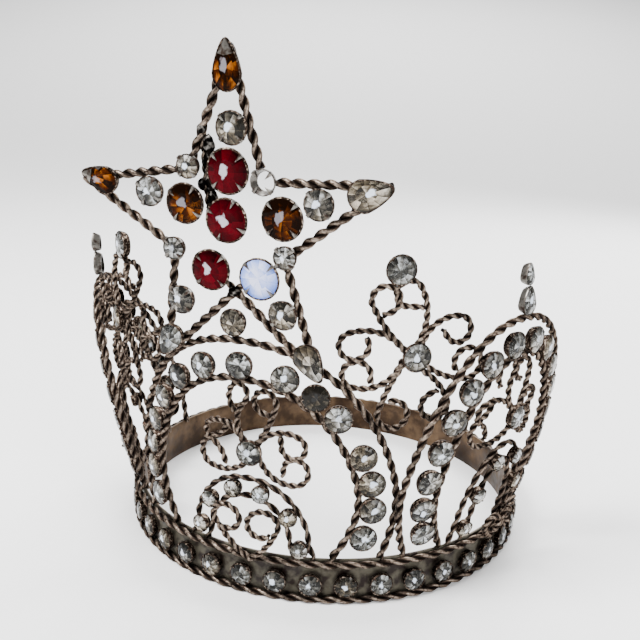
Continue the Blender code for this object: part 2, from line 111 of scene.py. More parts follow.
# Stones
ROW_STONE = 0.0067
SMALL_STONE = 0.0045
SMALL_SETTING = 0.0018
FLEURON_STONE = 0.0065
COLLET = 0.0017
CROWN_RISE = 0.00066
CREST_STONE = 0.0064
FINIAL_PEAR = (0.0050, 0.0068)
FINIAL_DROP = (0.0034, 0.0052)
# Claws: how many hold a stone, where they stand as shares of its radius and setting, and two sizes
CLAWS = 4
CLAW_PLACE = 0.91
CLAW_LIFT = 1.1
CLAW = (0.00042, 0.00030, 0.00036)
BROAD_CLAW = (0.00105, 0.00062, 0.00050)

ROW_WIDTH = 0.0090
SMALL_ROW_WIDTH = 0.0045
FRONT_ROW = (
    0.060, 0.115, 0.167, 0.222, 0.285, 0.355, 0.423, 0.497,
    0.579, 0.637, 0.690, 0.774, 0.827, 0.879, 0.936,
)
SIDE_ROW = tuple(np.linspace(0.062, 0.938, 16))
SMALL_ROW = (0.08, 0.26, 0.43, 0.58, 0.76, 0.95)
# How dark stones have gone: the band's row, the small bright ones, and some by their place in the front row
BAND_STONES_DARK = 0.3
SMALL_STONES_DARK = -0.4
SMOKY = {5: 0.75, 9: 0.9}

# Edges sharper than this stay sharp
WIRE_CREASE = radians(60)
SHEET_CREASE = radians(50)
FORM_CREASE = radians(35)
FLAT = radians(1)

Horseshoe = namedtuple("Horseshoe", "foot widest belly apex")
Panel = namedtuple(
    "Panel",
    "name azimuth lean curl skew arch foot_spread row small_arch small_shift fleuron_shift",
)
BEND_REACH = 0.050
BOW_NARROWS = 0.91
BOW_RISES = 1.25
LEG_STEPS = 40
BOW_STEPS = 160
FLEURON_PLACE = 0.25
FRONT = Panel(
    name="front", azimuth=radians(2.0), lean=radians(3.0), curl=0.0, skew=0.0,
    arch=Horseshoe(foot=0.0330, widest=0.0362, belly=0.0150, apex=0.0517), foot_spread=0.0115, row=FRONT_ROW,
    small_arch=Horseshoe(foot=0.0159, widest=0.0146, belly=0.0040, apex=0.0182),
    small_shift=0.0012, fleuron_shift=0.0012,
)
RIGHT = Panel(
    name="right", azimuth=radians(70.0), lean=radians(17.5), curl=0.0065, skew=-0.0035,
    arch=Horseshoe(foot=0.0255, widest=0.0300, belly=0.0180, apex=0.0604), foot_spread=0.0100, row=SIDE_ROW,
    small_arch=Horseshoe(foot=0.0115, widest=0.0110, belly=0.0080, apex=0.0270),
    small_shift=-0.0010, fleuron_shift=0.0030,
)
LEFT = Panel(
    name="left", azimuth=radians(-70.0), lean=radians(18.5), curl=0.0054, skew=0.0050,
    arch=Horseshoe(foot=0.0255, widest=0.0300, belly=0.0180, apex=0.0562), foot_spread=0.0100, row=SIDE_ROW,
    small_arch=Horseshoe(foot=0.0115, widest=0.0110, belly=0.0080, apex=0.0260),
    small_shift=0.0010, fleuron_shift=-0.0030,
)
PANELS = (FRONT, RIGHT, LEFT)

# Scrolls: a start, a heading in degrees and arcs of (length, turn in degrees), all lengths as hundredths
# of the ornament's own size
Scroll = namedtuple("Scroll", "start heading arcs")
FLEURON = (
    Scroll((8, 9), 58, ((46, -90), (53, -239), (8, 15))),
    Scroll((9, -6), -74, ((48, 78), (61, 268), (6, -20))),
    Scroll((-9, 10), 120, ((46, 90), (26, 124), (28, -64))),
    Scroll((-3, -11), -134, ((51, -57), (38, -152), (33, 50))),
    Scroll((-8, 12), 135, ((40, -90), (32, 182), (30, 90))),
    Scroll((9, 13), 54, ((37, 21), (57, 271), (8, 0))),
)
HEART_SHARE = 1.90
HEART = (
    Scroll((8, -7), 144, ((63, -24), (54, -174), (40, -156))),
    Scroll((8, -7), 39, ((60, 31), (63, 203), (36, 132))),
)
SHOULDER_FLEURON = (
    Scroll((-8, 5), 139, ((38, -23), (45, -275), (5, 0))),
    Scroll((1, 9), 61, ((41, 60), (37, 239), (10, -6))),
    Scroll((-9, 5), 126, ((40, 76), (46, 269), (3, 5))),
    Scroll((-9, -4), -103, ((41, -90), (43, -260), (5, 12))),
    Scroll((4, 8), 81, ((37, -90), (37, -225), (7, -7))),
    Scroll((7, -6), -40, ((35, 40), (43, 219), (15, 90))),
    Scroll((4, -9), -28, ((33, -37), (46, -265), (7, -12))),
    Scroll((-8, -6), -120, ((37, 15), (52, 288), (3, 27))),
)
SHOULDER_SIZE = 0.0320
SHOULDER_AZIMUTH = radians(40.0)
SHOULDER_RISE = 0.0508
SHOULDER_DROP_LEFT = 0.0020
SHOULDER_CONTACTS = (-0.0079, 0.0140)
SHOULDER_STONES = (((0, 0), 0.0067), ((-15, 60), 0.0068))

# Star: corners from the top tip clockwise, as (degrees from its right, share of its radius)
STAR_RADIUS = 0.0380
STAR_FOOT = 0.05785
STAR_LEAN = radians(5.0)
STAR_SHIFT = -0.0017
STAR_STANDOFF = 0.0012
STAR_CORNERS = (
    (89, 0.97), (55, 0.35), (19, 0.95), (-22, 0.34), (-57, 0.94),
    (-88, 0.34), (-120, 0.91), (-161, 0.39), (166, 0.97), (127, 0.42),
)
STAR_BRACES = (
    ((-16, 55), (-15, 30), (-14, 12)),
    ((1, -34), (-8, -26), (-12, -24)),
    ((1, -34), (8, -28), (15, -27)),
)
StarStone = namedtuple("StarStone", "name place width length turn")
STAR_STONES = {
    "red": (
        StarStone("star_red_top", (2.1, 34.2), 0.0097, 0.0097, 0),
        StarStone("star_red_middle", (0.5, 7.6), 0.0097, 0.0097, 20),
        StarStone("star_red_low", (-10.5, -21.3), 0.0092, 0.0092, 0),
    ),
    "amber": (
        StarStone("star_amber_left", (-25.0, 15.0), 0.0089, 0.0089, 10),
        StarStone("star_amber_right", (33.7, 11.1), 0.0093, 0.0093, 0),
        StarStone("star_pear_top", (3.2, 87.9), 0.0064, 0.0102, 0),
        StarStone("star_pear_left", (-80.3, 25.0), 0.0062, 0.0092, 76),
    ),
    "opal": (StarStone("star_opal", (19.5, -23.4), 0.0093, 0.0093, 0),),
    "clear": (
        StarStone("star_clear_top", (5.0, 56.8), 0.0070, 0.0070, 0),
        StarStone("star_clear_left", (-47.6, 20.0), 0.0066, 0.0066, 15),
        StarStone("star_clear_right", (54.2, 20.3), 0.0066, 0.0066, 0),
        StarStone("star_clear_low_left", (-30.8, -41.3), 0.0066, 0.0066, 0),
        StarStone("star_clear_low_right", (33.2, -42.6), 0.0066, 0.0066, 0),
        StarStone("star_notch_upper_left", (-22.4, 35.3), 0.0052, 0.0052, 0),
        StarStone("star_notch_left", (-33.7, -11.3), 0.0052, 0.0052, 0),
        StarStone("star_notch_right", (34.7, -10.0), 0.0052, 0.0052, 0),
        StarStone("star_pear_right", (82.1, 27.9), 0.0068, 0.0098, -72),
        StarStone("star_pear_low_right", (49.5, -68.9), 0.0066, 0.0092, -147),
        StarStone("star_pear_low_left", (-40.5, -67.9), 0.0060, 0.0084, 150),
    ),
}

# The setting that has lost its stone
EMPTY_SETTING = StarStone("star_notch_upper_right", (22.6, 29.7), 0.0056, 0.0056, 0)
# The corner where that setting closes the outline in place of the wires
EMPTY_CORNER = 1
# Solder on the star: place, width, length and how far back, in hundredths of its radius
STAR_SOLDER = (
    (-12, 46, 8, 14, 1.0), (-13, 37, 9, 16, 0.5), (-12, 27, 8, 17, 0.5), (-11, 18, 7, 11, 0.5),
    (-17, 25, 7, 8, 0.5), (1, -34, 8, 7, 2.0), (-24, 34, 6, 5, 1.0), (-37, -13, 6, 6, 1.0),
    (33, -14, 6, 5, 1.0), (-16, 55, 6, 6, 1.5),
)
# Half the thickness of a lump of solder
LUMP_RISE = 0.0009

# Template forms have a radius of one; a pear's template is this much longer than wide
PEAR_RATIO = 1.45
PEAR_TAPER = 0.35
FINE_TURN = 11.0
# Keeps the pieces' random seeds apart
SEED_STEP = 31
# A round cut, ring by ring: points, radius, height and start. Height 1 is the table, and below 0 is the back
EIGHTH = pi / 8
BRILLIANT = (
    (8, 0.52, 1.0, 0.0), (8, 0.72, 0.72, EIGHTH), (16, 0.95, 0.12, EIGHTH / 2), (16, 0.95, 0.0, EIGHTH / 2),
    (8, 0.45, -0.7, 0.0),
)
# A collet's wall: foot, bulge, bright edge over the stone, then down inside. Height 1 is the stone's girdle
COLLET_PROFILE = (
    (0.80, 0.0), (0.88, 0.25), (0.95, 0.62), (1.0, 0.92), (1.0, 1.05), (0.97, 1.13), (0.92, 1.11), (0.90, 0.95),
    (0.70, 0.0),
)
COLLET_SIDES = 20
PEAR_COLLET_SIDES = 24
# A claw bent over a stone's edge: broad at the rim and pointed towards the stone's middle
CLAW_FORM = (
    (0.30, -0.8, -1.0), (0.30, 0.8, -1.0), (0.40, -0.7, 0.3), (0.40, 0.7, 0.3),
    (0.10, -0.6, 0.85), (0.10, 0.6, 0.85), (0.10, 0.0, 1.05),
    (-1.5, 0.0, 0.95), (-1.1, 0.2, 0.3), (-1.1, -0.2, 0.3), (-0.3, 0.0, -1.0),
)
# The metal that closes a pear's pointed end
PEAR_TIP = (
    (-0.55, 0.44, 0.9), (0.55, 0.44, 0.9), (-0.22, 0.88, 0.8), (0.22, 0.88, 0.8), (0.0, 1.0, 0.8),
    (-0.48, 0.42, 1.32), (0.48, 0.42, 1.32), (0.0, 0.34, 1.54), (0.0, 0.97, 1.18),
)

# A stone in its place: its matrix, width, length, setting depth and how dark it has gone
Placed = namedtuple("Placed", "matrix width length depth dark")


def round_stone(matrix, width, depth=COLLET, dark=0.0):
    return Placed(matrix, width, width, depth, dark)


# Paths, as on the frame's panels


def directions(angle):
    """Outward from the crown's axis and along the band, at this angle."""
    return Vector((sin(angle), -cos(angle), 0.0)), Vector((cos(angle), sin(angle), 0.0))


def surface_radius(panel, rise):
    return BAND_RADIUS - BAND_WALL / 2 + rise * sin(panel.lean) - panel.curl * (rise / BEND_REACH) ** 2


def axes(along, outward):
    upward = outward.cross(along)
    return Matrix((along, upward, outward)).transposed().to_4x4()


def place_on(panel, across, rise, proud=0.0):
    """The matrix of a point on a panel: local X runs along the band and local Z points outward."""
    radius = surface_radius(panel, rise)
    angle = panel.azimuth + (across + panel.skew * rise / BEND_REACH) / radius
    slope = panel.lean - 2 * panel.curl * rise / BEND_REACH**2
    outward = Vector((sin(angle) * cos(slope), -cos(angle) * cos(slope), -sin(slope)))
    along = Vector((cos(angle), sin(angle), 0.0))
    height = BAND_HEIGHT + FOOT_RISE + rise * cos(panel.lean)
    spot = AXIS + Vector((radius * sin(angle), -radius * cos(angle), height)) + outward * proud
    return Matrix.Translation(spot) @ axes(along, outward)


def shoulder_matrix(side, across, rise, proud=0.0):
    """A point on the surface that a shoulder fleuron spans."""
    layer = (ARCH_ROPE + SCROLL_ROPE) / 2 + GAP
    neighbour = RIGHT if side > 0 else LEFT
    near, far = SHOULDER_CONTACTS
    share = (across - near) / (far - near)
    radius = (surface_radius(FRONT, rise) + layer) * (1 - share)
    radius += (surface_radius(neighbour, rise) - layer) * share + proud
    outward, along = directions(side * (SHOULDER_AZIMUTH + across / radius))
    spot = AXIS + outward * radius + Vector((0.0, 0.0, BAND_HEIGHT + FOOT_RISE + rise))
    return Matrix.Translation(spot) @ axes(along, outward)


def band_matrix(angle, radius, height):
    outward, along = directions(angle)
    return Matrix.Translation(AXIS + outward * radius + Vector((0, 0, height))) @ axes(along, outward)


def width_at(shape, rise):
    share = (rise - shape.belly) / (shape.apex - shape.belly)
    return shape.widest * cos(asin(share ** (1 / BOW_RISES))) ** BOW_NARROWS


def star_reach():
    """Distance of the star's low right tip below its centre, along its plane."""
    degrees, share = STAR_CORNERS[4]
    return share * STAR_RADIUS * sin(radians(-degrees))


def star_distance():
    """Distance of the star's centre in front of the crown's axis."""
    rise = (STAR_FOOT - BAND_HEIGHT - FOOT_RISE) / cos(FRONT.lean)
    wire_spot = place_on(FRONT, width_at(FRONT.arch, rise), rise).translation - AXIS
    forward, along = directions(FRONT.azimuth)
    contact = wire_spot.dot(forward) + (ARCH_ROPE + STAR_ROPE) / 2 + STAR_STANDOFF
    return contact + star_reach() * sin(STAR_LEAN)


def star_matrix(across, up, proud=0.0, turn=0.0):
    """A point on the star's plane, which leans outward and faces the way the front panel does."""
    forward, along = directions(FRONT.azimuth)
    outward = forward * cos(STAR_LEAN) - Vector((0, 0, sin(STAR_LEAN)))
    upward = outward.cross(along)
    spot = AXIS + forward * star_distance() + Vector((0, 0, STAR_FOOT + star_reach() * cos(STAR_LEAN)))
    spot += along * (STAR_SHIFT + across) + upward * up + outward * proud
    return Matrix.Translation(spot) @ axes(along, outward) @ Matrix.Rotation(radians(turn), 4, "Z")


def star_spot(place, proud=0.0, turn=0.0):
    """A point on the star's plane, given in hundredths of the star's radius."""
    return star_matrix(*(share * STAR_RADIUS / 100 for share in place), proud, turn)


def horseshoe(shape):
    """A fine path of (across, rise) from the left foot over the apex to the right foot."""
    leg = [
        (shape.widest - (shape.widest - shape.foot) * (1 - share) ** 2, shape.belly * share)
        for share in np.linspace(0, 1, LEG_STEPS, endpoint=False)
    ]
    bow = [
        (
            shape.widest * cos(angle) ** BOW_NARROWS,
            shape.belly + (shape.apex - shape.belly) * sin(angle) ** BOW_RISES,
        )
        for angle in np.linspace(0, pi / 2, BOW_STEPS)
    ]
    right = np.array(leg + bow)
    return np.vstack([right * [-1, 1], right[::-1][1:]])


def inset(shape, foot_spread, width):
    return Horseshoe(shape.foot - foot_spread, shape.widest - width, shape.belly, shape.apex - width)


def offset(path, distance):
    run = np.gradient(path, axis=0)
    run /= np.hypot(run[:, 0], run[:, 1])[:, None]
    return path + distance * np.stack([-run[:, 1], run[:, 0]], axis=1)


def along_path(path, shares, values=None):
    values = path if values is None else values
    steps = np.hypot(*np.diff(path, axis=0).T)
    length = np.concatenate([[0], np.cumsum(steps)])
    at = np.array(shares) * length[-1]
    return np.stack([np.interp(at, length, column) for column in values.T], axis=1)


def walk(scroll, size, lift=0.0, root=0.0):
    """Points (across, rise, proud) along a chain of arcs, from under the stone where there is a root."""
    x, y = scroll.start[0] * size / 100, scroll.start[1] * size / 100
    heading = radians(scroll.heading)
    whole = sum(length for length, turn in scroll.arcs)
    gone = 0.0
    points = [(x, y, 0.0)]
    if root:
        points.insert(0, (x * root / hypot(x, y), y * root / hypot(x, y), 0.0))
    for length, turn in scroll.arcs:
        count = max(3, round(abs(turn) / FINE_TURN))
        step = length * size / 100 / count
        bend = radians(turn) / count
        for _ in range(count):
            x += step * cos(heading + bend / 2)
            y += step * sin(heading + bend / 2)
            heading += bend
            gone += length / count
            points.append((x, y, lift * gone / whole))
    return points


def fleuron_rise(panel):
    room = panel.arch.apex - ROW_WIDTH - panel.small_arch.apex
    return panel.small_arch.apex + FLEURON_PLACE * room, room


# Nodes


class Value:
    """A socket with arithmetic: each operation adds the Math or Vector Math node that does it."""

    def __init__(self, graph, socket):
        self.graph, self.socket = graph, socket

    def maths(self, operation, *others, output=0):
        """The operation on this value and the others, in that order."""
        kind = "ShaderNodeVectorMath" if self.socket.type == "VECTOR" else "ShaderNodeMath"
        return self.graph.add(kind, {"operation": operation}, dict(enumerate((self, *others))), output)

    def __add__(self, other):
        return self.maths("ADD", other)

    def __sub__(self, other):
        return self.maths("SUBTRACT", other)

    def __mul__(self, other):
        return self.maths("MULTIPLY", other)

    def __truediv__(self, other):
        return self.maths("DIVIDE", other)

    def scaled(self, by):
        """The vector, as many times longer."""
        return self.graph.add("ShaderNodeVectorMath", {"operation": "SCALE"}, {0: self, 3: by})

    def length(self):
        return self.maths("LENGTH", output="Value")

    def spread(self, low, high, to_low=0.0, to_high=1.0):
        """The value's range from low to high, carried over to another range and held there."""
        return self.graph.add(
            "ShaderNodeMapRange", {"clamp": True}, {0: self, 1: low, 2: high, 3: to_low, 4: to_high}
        )


class Graph:
    """A node tree that is written as expressions."""

    def __init__(self, tree):
        self.tree = tree

    def add(self, kind, settings=None, inputs=None, output=0):
        """Adds a node, sets its settings, then its sockets' values or links, and gives one output."""
        node = self.tree.nodes.new(kind)
        for name, value in (settings or {}).items():
            if name == "stops":
                self.set_stops(node.color_ramp.elements, value)
            else:
                setattr(node, name, value)
        for name, value in (inputs or {}).items():
            self.give(node.inputs[name], value)
        return Value(self, node.outputs[output]) if output is not None else node

    def give(self, socket, value):
        if isinstance(value, Value):
            self.tree.links.new(value.socket, socket)
        else:
            socket.default_value = value

    def set_stops(self, elements, stops):
        for place, colour in stops[len(elements):]:
            elements.new(place)
        for element, (place, colour) in zip(elements, stops):
            element.position, element.color = place, colour

    def blend(self, share, first, second, **settings):
        """Two colours mixed by a share."""
        settings["data_type"] = "RGBA"
        return self.add("ShaderNodeMix", settings, {0: share, 6: first, 7: second}, output=2)

    def noise(self, vector, scale, detail=3.0):
        return self.add("ShaderNodeTexNoise", {}, {"Vector": vector, "Scale": scale, "Detail": detail})

    def store(self, geometry, kind, name, value):
        """Keeps a value on the points under this name."""
        settings = {"data_type": kind, "domain": "POINT"}
        inputs = {"Geometry": geometry, "Name": name, "Value": value}
        return self.add("GeometryNodeStoreNamedAttribute", settings, inputs)

    def stored(self, name):
        """A vector that is kept on the points."""
        return self.add("GeometryNodeInputNamedAttribute", {"data_type": "FLOAT_VECTOR"}, {"Name": name})

    def own(self, name, output="Fac"):
        """An attribute of the piece's own mesh, in a shader."""
        return self.add("ShaderNodeAttribute", {"attribute_name": name}, output=output)


def tree_with(name, sockets):
    """A Geometry Nodes tree with these named inputs, and a Value for each."""
    tree = bpy.data.node_groups.new(name, "GeometryNodeTree")
    tree.interface.new_socket("Geometry", in_out="OUTPUT", socket_type="NodeSocketGeometry")
    for label, kind in sockets.items():
        tree.interface.new_socket(label, in_out="INPUT", socket_type="NodeSocket" + kind)
    graph = Graph(tree)
    source = tree.nodes.new("NodeGroupInput")
    return graph, {label: Value(graph, source.outputs[label]) for label in sockets}


def close_tree(graph, geometry, surface):
    """Ends a tree in Realize Instances and Set Material."""
    real = graph.add("GeometryNodeRealizeInstances", {}, {"Geometry": geometry})
    dressed = graph.add("GeometryNodeSetMaterial", {}, {"Geometry": real, "Material": surface})
    graph.add("NodeGroupOutput", {}, {"Geometry": dressed}, output=None)
    return graph.tree


def twisted_tree():
    """Two strands wound round each path, with how far out each point lies kept for the painted shade in the
    grooves and the wear and painted highlight on the crests.
    """
    sockets = {
        "Geometry": "Geometry", "Thickness": "Float", "Pitch": "Float", "Step": "Float", "Material": "Material",
    }
    graph, given = tree_with("twisted wire", sockets)
    path = graph.add(
        "GeometryNodeResampleCurve", {"mode": "LENGTH"}, {"Curve": given["Geometry"], "Length": given["Step"]}
    )
    path = graph.add("GeometryNodeSetCurveNormal", {"mode": "MINIMUM_TWIST"}, {"Curve": path})
    path = graph.store(path, "FLOAT_VECTOR", "centre", graph.add("GeometryNodeInputPosition"))
    length = graph.add("GeometryNodeSplineParameter", output="Length")
    tangent = graph.add("GeometryNodeInputTangent")
    normal = graph.add("GeometryNodeInputNormal")
    across = tangent.maths("CROSS_PRODUCT", normal)
    circle = {"Resolution": STRAND_SIDES, "Radius": given["Thickness"] * STRAND_RADIUS}
    profile = graph.add("GeometryNodeCurvePrimitiveCircle", {}, circle)
    reach = given["Thickness"] * STRAND_REACH
    strands = []
    for start in (0.0, pi):
        turn = length * (2 * pi) / given["Pitch"] + start
        shift = normal.scaled(turn.maths("COSINE") * reach) + across.scaled(turn.maths("SINE") * reach)
        strand = graph.add("GeometryNodeSetPosition", {}, {"Geometry": path, "Offset": shift})
        swept = {"Curve": strand, "Profile Curve": profile, "Fill Caps": True}
        strands.append(graph.add("GeometryNodeCurveToMesh", {}, swept))
    both = graph.add("GeometryNodeJoinGeometry", {}, {"Geometry": strands[0]})
    graph.tree.links.new(strands[1].socket, both.socket.node.inputs["Geometry"])
    away = graph.add("GeometryNodeInputPosition") - graph.stored("centre")
    both = graph.store(both, "FLOAT", "outer", away.length() * 2 / given["Thickness"])
    return close_tree(graph, both, given["Material"])


def setting_tree():
    """A template form on each point, turned and sized by the points' own attributes."""
    sockets = {"Geometry": "Geometry", "Form": "Object", "Material": "Material"}
    graph, given = tree_with("set in place", sockets)
    space = {"transform_space": "ORIGINAL"}
    form = graph.add("GeometryNodeObjectInfo", space, {"Object": given["Form"]}, output="Geometry")
    turned = graph.add("FunctionNodeEulerToRotation", {}, {0: graph.stored("turn")})
    placed = graph.add(
        "GeometryNodeInstanceOnPoints",
        {},
        {"Points": given["Geometry"], "Instance": form, "Rotation": turned, "Scale": graph.stored("size")},
    )
    return close_tree(graph, placed, given["Material"])


def ring_tree():
    """The band's sheet, turned round its axis and bent a little by hand."""
    sockets = {
        "Geometry": "Geometry", "Radius": "Float", "Height": "Float", "Wall": "Float", "Unevenness": "Float",
        "Material": "Material",
    }
    graph, given = tree_with("sheet ring", sockets)
    circle = graph.add(
        "GeometryNodeCurvePrimitiveCircle", {}, {"Resolution": RING_STEPS, "Radius": given["Radius"]}
    )
    outline = graph.add(
        "GeometryNodeCurvePrimitiveQuadrilateral", {}, {"Width": given["Wall"], "Height": given["Height"]}
    )
    rounding = {"Curve": outline, "Radius": given["Wall"] * SHEET_ROUNDING, "Count": 2}
    outline = graph.add("GeometryNodeFilletCurve", {"mode": "POLY"}, rounding)
    outline = graph.add("GeometryNodeSubdivideCurve", {}, {"Curve": outline, "Cuts": SHEET_CUTS})
    sheet = graph.add("GeometryNodeCurveToMesh", {}, {"Curve": circle, "Profile Curve": outline})
    spot = graph.add("GeometryNodeInputPosition")
    waves = graph.noise(spot, SHEET_BENDS, 1.0) - 0.5
    outward = (spot * (1.0, 1.0, 0.0)).maths("NORMALIZE")
    shift = outward.scaled(waves * given["Unevenness"])
    sheet = graph.add("GeometryNodeSetPosition", {}, {"Geometry": sheet, "Offset": shift})
    return close_tree(graph, sheet, given["Material"])


def grow(source, name, values):
    """Runs a tree on an object, and gives the result as a plain mesh. The source is removed."""
    makers = {"twisted wire": twisted_tree, "set in place": setting_tree, "sheet ring": ring_tree}
    tree = bpy.data.node_groups.get(name) or makers[name]()
    made = source.modifiers.new("made by nodes", "NODES")
    made.node_group = tree
    for item in tree.interface.items_tree:
        if item.in_out == "INPUT" and item.name in values:
            made[item.identifier] = values[item.name]
    bpy.context.view_layer.update()
    graph = bpy.context.evaluated_depsgraph_get()
    mesh = bpy.data.meshes.new_from_object(source.evaluated_get(graph))
    bpy.data.objects.remove(source)
    return mesh


# Pieces


def linked(name, data):
    """An object in the scene."""
    made = bpy.data.objects.new(name, data)
    bpy.context.scene.collection.objects.link(made)
    return made


def smoothed(mesh, crease):
    mesh.shade_smooth()
    mesh.set_sharp_from_angle(angle=crease)


def piece(name, mesh, nodes):
    """A finished piece of the crown."""
    made = linked(name, mesh)
    mesh.name = name
    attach(made, "root")
    if nodes:
        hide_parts(*nodes)
    return made


def rope(name, paths, thickness, pitch, nodes, closed=False, lobes=LOBES):
    """Twisted wire along these paths, as one piece."""
    curve = bpy.data.curves.new(name, "CURVE")
    curve.dimensions = "3D"
    for points in paths:
        spline = curve.splines.new("POLY")
        spline.points.add(len(points) - 1)
        spline.use_cyclic_u = closed
        for knot, point in zip(spline.points, points):
            knot.co = (*point, 1.0)
    values = {
        "Thickness": thickness * lobes, "Pitch": pitch, "Step": pitch / STEPS_PER_TURN,
        "Material": surface("oxidised wire"),
    }
    mesh = grow(linked(name, curve), "twisted wire", values)
    smoothed(mesh, WIRE_CREASE)
    return piece(name, mesh, nodes)


def set_forms(name, placed, template, sizes, finish, nodes, smooth=False):
    """The template on each place. Sizes gives the scale for a placed stone."""
    mesh = bpy.data.meshes.new(name + " places")
    mesh.from_pydata([tuple(one.matrix.translation) for one in placed], [], [])
    chance = np.random.default_rng(len(name) * SEED_STEP + len(placed))
    values = {
        "turn": [one.matrix.to_euler() for one in placed],
        "size": [sizes(one) for one in placed],
        "tint": [chance.random() for one in placed],
        "dark": [one.dark for one in placed],
    }
    for label, rows in values.items():
        vector = label in ("turn", "size")
        attribute = mesh.attributes.new(label, "FLOAT_VECTOR" if vector else "FLOAT", "POINT")
        attribute.data.foreach_set("vector" if vector else "value", np.ravel(rows).astype(float))
    points = linked(name + " places", mesh)
    form = template()
    made = grow(points, "set in place", {"Form": form, "Material": surface(finish)})
    bpy.data.objects.remove(form)
    if smooth:
        smoothed(made, FORM_CREASE)
    return piece(name, made, nodes)


def template_object(name, shape):
    """A form to be set, with each point's place on it kept for the stone's pattern."""
    bmesh.ops.recalc_face_normals(shape, faces=shape.faces)
    mesh = bpy.data.meshes.new(name)
    shape.to_mesh(mesh)
    shape.free()
    cut = mesh.attributes.new("cut", "FLOAT_VECTOR", "POINT")
    for vert, place in zip(mesh.vertices, cut.data):
        place.vector = vert.co
    return linked(name, mesh)


def hull_object(name, points):
    shape = bmesh.new()
    for point in points:
        shape.verts.new(point)
    bmesh.ops.convex_hull(shape, input=shape.verts)
    loose = [vert for vert in shape.verts if not vert.link_faces]
    bmesh.ops.delete(shape, geom=loose, context="VERTS")
    bmesh.ops.dissolve_limit(shape, verts=shape.verts, edges=shape.edges, angle_limit=FLAT)
    return template_object(name, shape)


def ring_points(count, radius, height, start=0.0):
    angles = [start + 2 * pi * index / count for index in range(count)]
    return [(radius * sin(angle), radius * cos(angle), height) for angle in angles]


def brilliant_points():
    return [point for ring in BRILLIANT for point in ring_points(*ring)]


def to_pear(x, y, z):
    """Draws the upper half of a round form out to a point, and centres it."""
    share = max(y, 0.0)
    stretched = y * (1 + (2 * PEAR_RATIO - 2) * (y > 0)) - (PEAR_RATIO - 1)
    return (x * (1 - PEAR_TAPER * share), stretched / PEAR_RATIO, z)


def turned(name, profile, count, change=None):
    """A closed ring turned from a closed profile of (radius, height)."""
    shape = bmesh.new()
    rings = []
    for radius, height in profile:
        points = ring_points(count, radius, height)
        rings.append([shape.verts.new(change(*point) if change else point) for point in points])
    for ring, above in zip(rings, rings[1:] + rings[:1]):
        for index in range(count):
            after = (index + 1) % count
            shape.faces.new((ring[index], ring[after], above[after], above[index]))
    return template_object(name, shape)


def brilliant():
    return hull_object("brilliant", brilliant_points())


def pear_cut():
    return hull_object("pear cut", [to_pear(*point) for point in brilliant_points()])


def collet():
    return turned("collet", COLLET_PROFILE, COLLET_SIDES)


def pear_collet():
    return turned("pear collet", COLLET_PROFILE, PEAR_COLLET_SIDES, to_pear)


def claw():
    return hull_object("claw", CLAW_FORM)


def pear_tip():
    return hull_object("pear tip", PEAR_TIP)


def lump():
    """An uneven lump of solder."""
    shape = bmesh.new()
    bmesh.ops.create_icosphere(shape, subdivisions=3, radius=1.0)
    for vert in shape.verts:
        vert.co *= 0.88 + 0.12 * sin(7 * vert.co.x + 2) * cos(6 * vert.co.y) * cos(4 * vert.co.z + 1)
    return template_object("lump", shape)


def stone_size(one):
    return (one.width / 2, one.length / 2, CROWN_RISE)


def setting_size(one):
    return (one.width / 2, one.length / 2, one.depth)


def claw_size(one):
    return CLAW


def broad_claw_size(one):
    return BROAD_CLAW


def raised(placed):
    """The places of the stones themselves, on top of their settings."""
    return [one._replace(matrix=one.matrix @ Matrix.Translation((0, 0, one.depth))) for one in placed]


def claws_of(placed):
    """Places of claws round each stone."""
    made = []
    for one in placed:
        for index in range(CLAWS):
            turn = Matrix.Rotation(pi / 4 + 2 * pi * index / CLAWS, 4, "Z")
            reach = Matrix.Translation((one.width / 2 * CLAW_PLACE, 0, one.depth * CLAW_LIFT))
            made.append(one._replace(matrix=one.matrix @ turn @ reach))
    return made


def set_stones(
    name, placed, colour, nodes, claw_sizes=claw_size, claws="dark collet", pear_collets="dark collet"
):
    """Stones of one colour with their collets and claws, as pieces of their own."""
    round_ones = [one for one in placed if one.length == one.width]
    pears = [one for one in placed if one.length != one.width]
    slot, finish = colour + "_stone", colour + " paste"
    if round_ones:
        set_forms(name, raised(round_ones), brilliant, stone_size, finish, nodes)
        set_forms(name + "_collets", round_ones, collet, setting_size, "dark collet", nodes, True)
        set_forms(name + "_claws", claws_of(round_ones), claw, claw_sizes, claws, (), True)
    if pears:
        set_forms(name + "_pears", raised(pears), pear_cut, stone_size, finish, nodes)
        set_forms(name + "_pear_collets", pears, pear_collet, setting_size, pear_collets, nodes, True)


# Surfaces


def tone(name):
    """One of the crown's colours, for a node."""
    return (*getattr(bpy.context.scene.crown_colours, name), 1.0)


def feed(graph, shader, inputs):
    for name, value in inputs.items():
        graph.give(shader.inputs[name], value)


def bump(graph, height, strength, distance=0.0001):
    return graph.add("ShaderNodeBump", {}, {"Height": height, "Strength": strength, "Distance": distance})


def object_place(graph):
    return graph.add("ShaderNodeTexCoord", output="Object")


# Keeps the patina's grazing edges from shining white
DULL_EDGES = {"Specular Tint": (0.3, 0.27, 0.25, 1.0), "Specular IOR Level": 0.2}


